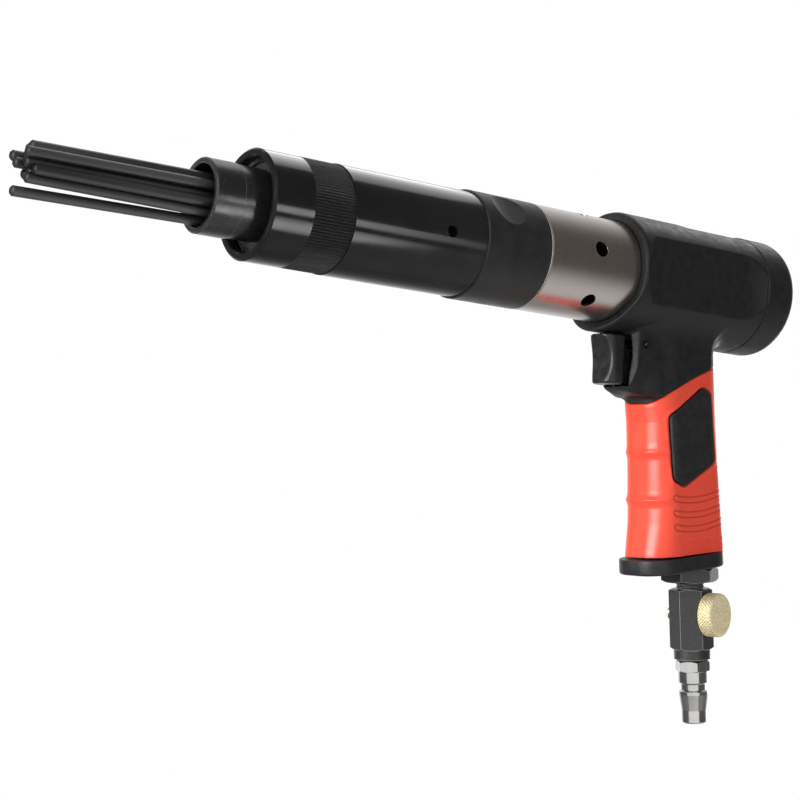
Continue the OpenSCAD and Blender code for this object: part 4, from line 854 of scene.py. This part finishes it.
# The wall of the grip at a distance t down the handle: a rounded outline that flares, hollowed at the front
# between the ridges, and then drawn in along its own facing by the crease, grooves, recess and pockets
def gripWall(t, outline, detail=True):
    g = gripShape
    across, along, nx, ny = outline
    down = np.maximum(0, (t - parting["front"]) / (handle["low"] - parting["front"]))
    a = handle["half"] + g["flare"] * down ** g["flarePower"]
    b, r = handle["wide"], handle["round"]
    u = across * (a - r) + nx * r
    y = along * (b - r) + ny * r + 0 * t
    front = np.maximum(0, -u / a) ** 2
    crest = 0
    for at in g["ridgeAt"]:
        reach = np.where(t < at, g["ridgeAbove"], g["ridgeBelow"])
        crest = crest + np.clip(1 - np.sqrt((t - at) ** 2 + g["ridgeSoft"]) / reach, 0, 1) ** 2
    u = u + front * np.interp(t, g["hollowT"], g["hollowDeep"]) * (1 - crest)
    if not detail:
        return u, y
    side = np.abs(ny)
    past = u - np.interp(t, g["creaseT"], g["creaseU"])
    deep = g["creaseDeep"] * ease(past / g["creaseWide"] + 0.5)
    deep = deep + g["panelTaper"] * np.maximum(0, past) * ease((t - g["taperFrom"]) / g["taperRun"])
    deep = deep * ease((t - g["panelTop"]) / g["panelRun"]) * ease(side * g["panelTurn"])
    deep = deep * ease((g["panelRear"] - u) / g["panelFade"])
    # How far into a groove each point lies, kept as the shade value that paints shade into the grooves
    shade = 0 * deep
    for at in g["grooveT"]:
        bend = at + g["grooveSag"] * (1 - ((u - g["grooveMiddle"]) / g["grooveSpan"]) ** 2)
        reach = np.hypot(np.maximum(0, g["grooveFrom"] - u), t - bend)
        line = np.exp(-((reach - g["grooveHalf"]) / g["grooveWide"]) ** 2)
        line = line * ease((g["grooveTo"] - u) / g["grooveFade"])
        deep = deep + g["grooveDeep"] * line
        shade = np.maximum(shade, line)
    uFrom, uTo, tFrom, tTo = g["recess"]
    inRecess = np.minimum(np.minimum(u - uFrom, uTo - u), np.minimum(t - tFrom, tTo - t))
    deep = deep + g["recessDeep"] * ease(inRecess / g["recessWide"] + 0.5)
    edge = padField(u, t)
    flank = side > 0.5
    deep = deep - g["bead"] * np.exp(-((edge - g["beadAt"]) / g["beadWide"]) ** 2) * flank
    pocket = ease((g["pocketGap"] - edge) / g["pocketWide"] + 0.5) * flank
    deep = deep * (1 - pocket) + g["pocketDeep"] * pocket
    return u - nx * deep, y - ny * deep, shade


# Rows of the outer wall from the parting line down, then rows of the inner wall back up, closed into a tube
def makeGrip():
    g = gripShape
    cols = g["columns"]
    outline = roundOutline(g["traceHalf"], handle["wide"], handle["round"], cols)
    start = partingDepth(lambda t: gripWall(t, outline, False), cols) + g["seam"]
    share = np.linspace(0, 1, g["rows"])[:, None]
    footU = outline[0] * (g["traceHalf"] - handle["round"]) + outline[2] * handle["round"]
    foot = handle["low"] - g["baseTilt"] * (footU - g["basePivot"])
    t = start + (foot - start) * share
    u, y, shade = gripWall(t, outline)
    roll = np.clip(1 - (t - start) / g["topRoll"], 0, 1)
    drawn = g["topRoll"] * (1 - np.sqrt(1 - roll ** 2)) * g["rollShare"]
    outer = fromHandle(u - outline[2] * drawn, y - outline[3] * drawn, t)
    a, b, r = g["inner"]
    innerU = outline[0] * (a - r) + outline[2] * r
    innerY = outline[1] * (b - r) + outline[3] * r
    wall = lambda t: (innerU + 0 * t, innerY + 0 * t)
    top = partingDepth(wall, cols) + g["seam"]
    t = foot + (top - foot) * np.linspace(0, 1, g["innerRows"])[:, None]
    u, y = wall(t)
    inner = fromHandle(u, y, t)
    rows = np.concatenate([outer, inner])
    faces = gridFaces(len(rows), cols, True)
    # The groove marks become the painted shade of the grooves; the inner wall gets none
    shade = np.concatenate([shade, np.zeros(inner.shape[:2])])
    addPiece("grip_shell", rows.reshape(-1, 3), [faces], "tool", "grip_red", ["grip"], None, shade)


makeGrip()


# A pad: rings of its outline drawn towards its middle, laid on the side of the handle, with a rolled edge
# and a slight crown
def makePad(name, node, side):
    g = padShape
    cols = g["columns"]
    corner = padCentres()
    turned = np.linspace(0, 2 * np.pi, 1441)[:-1]
    middle = corner.mean(0)
    ray = np.stack([np.cos(turned), np.sin(turned)], 1)
    low, high = np.zeros(len(turned)), np.full(len(turned), g["farthest"])
    for _ in range(40):  # how far the outline is along each ray, by halving
        mid = (low + high) / 2
        at = middle + ray * mid[:, None]
        inside = padField(at[:, 0], at[:, 1]) < 0
        low, high = np.where(inside, mid, low), np.where(inside, high, mid)
    line = middle + ray * low[:, None]
    run = np.r_[0, np.cumsum(np.linalg.norm(np.roll(line, -1, 0) - line, axis=1))]
    even = np.arange(cols) / cols * run[-1]
    line = np.stack([np.interp(even, run, np.r_[line[:, n], line[0, n]]) for n in (0, 1)], 1)
    along = np.roll(line, -1, 0) - np.roll(line, 1, 0)
    out = np.stack([along[:, 1], -along[:, 0]], 1) / np.linalg.norm(along, axis=1)[:, None]
    out *= np.sign(((line - middle) * out).sum(1))[:, None]
    inset = line - out * g["roll"]
    share = np.linspace(0, 1, g["rows"])[1:]
    flat = middle + (inset - middle) * share[:, None, None]
    lift = g["proud"] + g["dome"] * (1 - share ** 2) - g["dome"] * g["domeSink"]
    turn = np.linspace(0, np.pi / 2, 8)[1:]
    rolled = line - out * (g["roll"] * (1 - np.sin(turn)))[:, None, None]
    drop = lift[-1] - g["roll"] * (1 - np.cos(turn))
    wall = np.repeat(line[None], 3, 0)
    depth = np.linspace(drop[-1], -g["deep"], 4)[1:]
    back = middle + (line - middle) * np.linspace(1, 0, 5)[1:-1][:, None, None]
    place = np.concatenate([flat, rolled, wall, back])
    high = np.concatenate([lift, drop, depth, np.full(len(back), -g["deep"])])[:, None]
    place = np.concatenate([place.reshape(-1, 2), middle[None], middle[None]])
    high = np.r_[np.repeat(high, cols, 1).ravel(), lift[0], -g["deep"]]
    u, t = place.T
    bend = np.maximum(0, np.abs(u) - (g["half"] - handle["round"]))
    skin = handle["wide"] - handle["round"] + np.sqrt(handle["round"] ** 2 - bend ** 2)
    points = fromHandle(u, side * (skin + high), t)
    addPiece(name, points, closedFaces(len(high) // cols, cols), "tool", "pad_black", [node])


makePad("pad_left", "grip_pad_left", 1)
makePad("pad_right", "grip_pad_right", -1)


# Base plate: rings from the inlet hole out to the rounded edge, down and back

baseShape = {
    "half": 24.7, "wide": 16.3, "round": 12.8, "set": -2.0, "top": 125.5, "low": 132.3, "hole": 9.15,
    "inlet": 9.5, "topRoll": 0.5, "lowRoll": 1.1, "topTilt": 0.042, "lowTilt": 0.05, "pivot": -8.0,
    "columns": 220,
}


def makeBase():
    g = baseShape
    cols = g["columns"]
    across, along, nx, ny = roundOutline(g["half"], g["wide"], g["round"], cols)
    edgeU = g["set"] + across * (g["half"] - g["round"]) + nx * g["round"]
    edgeY = along * (g["wide"] - g["round"]) + ny * g["round"]
    away = np.hypot(edgeU - g["inlet"], edgeY)
    holeU = g["inlet"] + (edgeU - g["inlet"]) / away * g["hole"]
    holeY = edgeY / away * g["hole"]
    turn = np.linspace(0, np.pi / 2, 7)
    rim = [(g["topRoll"] * (1 - np.sin(a)), g["top"] + g["topRoll"] * (1 - np.cos(a))) for a in turn]
    rim += [(g["lowRoll"] * (1 - np.cos(a)), g["low"] - g["lowRoll"] * (1 - np.sin(a))) for a in turn]
    inset, depth = np.array(rim).T
    rimU = edgeU - nx * inset[:, None]
    rimY = edgeY - ny * inset[:, None]
    share = np.linspace(0, 1, 10)[:, None]
    upper = (holeU + (rimU[0] - holeU) * share[:-1], holeY + (rimY[0] - holeY) * share[:-1])
    lower = (rimU[-1] + (holeU - rimU[-1]) * share[1:], rimY[-1] + (holeY - rimY[-1]) * share[1:])
    u = np.concatenate([upper[0], rimU, lower[0]])
    y = np.concatenate([upper[1], rimY, lower[1]])
    flats = len(share) - 1
    t = np.concatenate([np.full(flats, g["top"]), depth, np.full(flats, g["low"])])[:, None] + 0 * u
    mixed = (t - g["top"]) / (g["low"] - g["top"])
    t = t - (g["topTilt"] + (g["lowTilt"] - g["topTilt"]) * mixed) * (u - g["pivot"])
    points = fromHandle(u, y, t).reshape(-1, 3)
    addPiece("base_cover", points, [gridFaces(len(u), cols, True)], "tool", "base_black", ["base_plate"])


makeBase()


# Regulator knob: a disc whose rim carries crossed knurling, two families of slanting grooves

knobShape = {
    "centre": (9.5, 153.4), "turn": np.radians(15), "in": 8.8, "thick": 6.9, "radius": 10.1, "bevel": 0.7,
    "teeth": 40, "deep": 0.42, "sharp": 0.7, "dish": 0.25, "dishFrom": 0.7, "dishRun": 0.2,
    "faceRings": (0.15, 0.35, 0.55, 0.75, 0.9, 1.0), "columns": 352, "rimRows": 22,
}


def makeKnob():
    g = knobShape
    cols = g["columns"]
    angle = np.arange(cols) / cols * 2 * np.pi
    r, b, thick = g["radius"], g["bevel"], g["thick"]
    rim = np.linspace(b, thick - b, g["rimRows"])
    face = np.array(g["faceRings"]) * (r - b)
    dish = g["dish"] * (1 - ease((face / (r - b) - g["dishFrom"]) / g["dishRun"]))
    radius = np.r_[face, np.full(len(rim), r), face[::-1]][:, None]
    high = np.r_[thick - dish, rim[::-1], np.zeros(len(face))][:, None]
    along = np.r_[np.full(len(face), thick), rim[::-1], np.zeros(len(face))][:, None]
    on = np.r_[np.zeros(len(face)), np.ones(len(rim)), np.zeros(len(face))][:, None]
    slant = along / r
    one = np.abs(np.sin((angle + slant) * g["teeth"] / 2))
    two = np.abs(np.sin((angle - slant) * g["teeth"] / 2))
    groove = g["deep"] * (1 - np.minimum(one, two) ** g["sharp"])
    radius = radius - on * groove
    high = high + 0 * radius
    u = radius * np.cos(angle)
    v = radius * np.sin(angle)
    tips = np.array([[0, 0, thick - dish[0]], [0, 0, 0]])
    local = np.concatenate([np.stack([u, v, high], -1).reshape(-1, 3), tips])
    cosT, sinT = np.cos(g["turn"]), np.sin(g["turn"])
    out = local[:, 2] + g["in"]
    at = fromHandle(g["centre"][0] + local[:, 0] * cosT + out * sinT, local[:, 0] * sinT - out * cosT,
                    g["centre"][1] + local[:, 1])
    faces = closedFaces(len(radius), cols)
    # The share of each knurl groove's depth, kept as the shade value that paints shade into the grooves
    shade = np.r_[(on * groove / g["deep"]).ravel(), 0, 0]
    addPiece("knob_disc", at, faces, "regulator", "knob_brass", ["regulator_knob"], None, shade)


makeKnob()


# A lamp with a list of pieces lights only those, or all but those where it skips them
def keepLamps(look):
    for item in look["lamps"]:
        named = item.get("only", ()) + item.get("skip", ())
        if not named:
            continue
        chosen = bpy.data.collections.new(item["name"] + "Pieces")
        for name in named:
            chosen.objects.link(bpy.data.objects[name])
        for held in chosen.collection_objects:
            held.light_linking.link_state = "EXCLUDE" if "skip" in item else "INCLUDE"
        bpy.data.objects[item["name"]].light_linking.receiver_collection = chosen


keepLamps(studio)
print("lamps kept to their pieces")
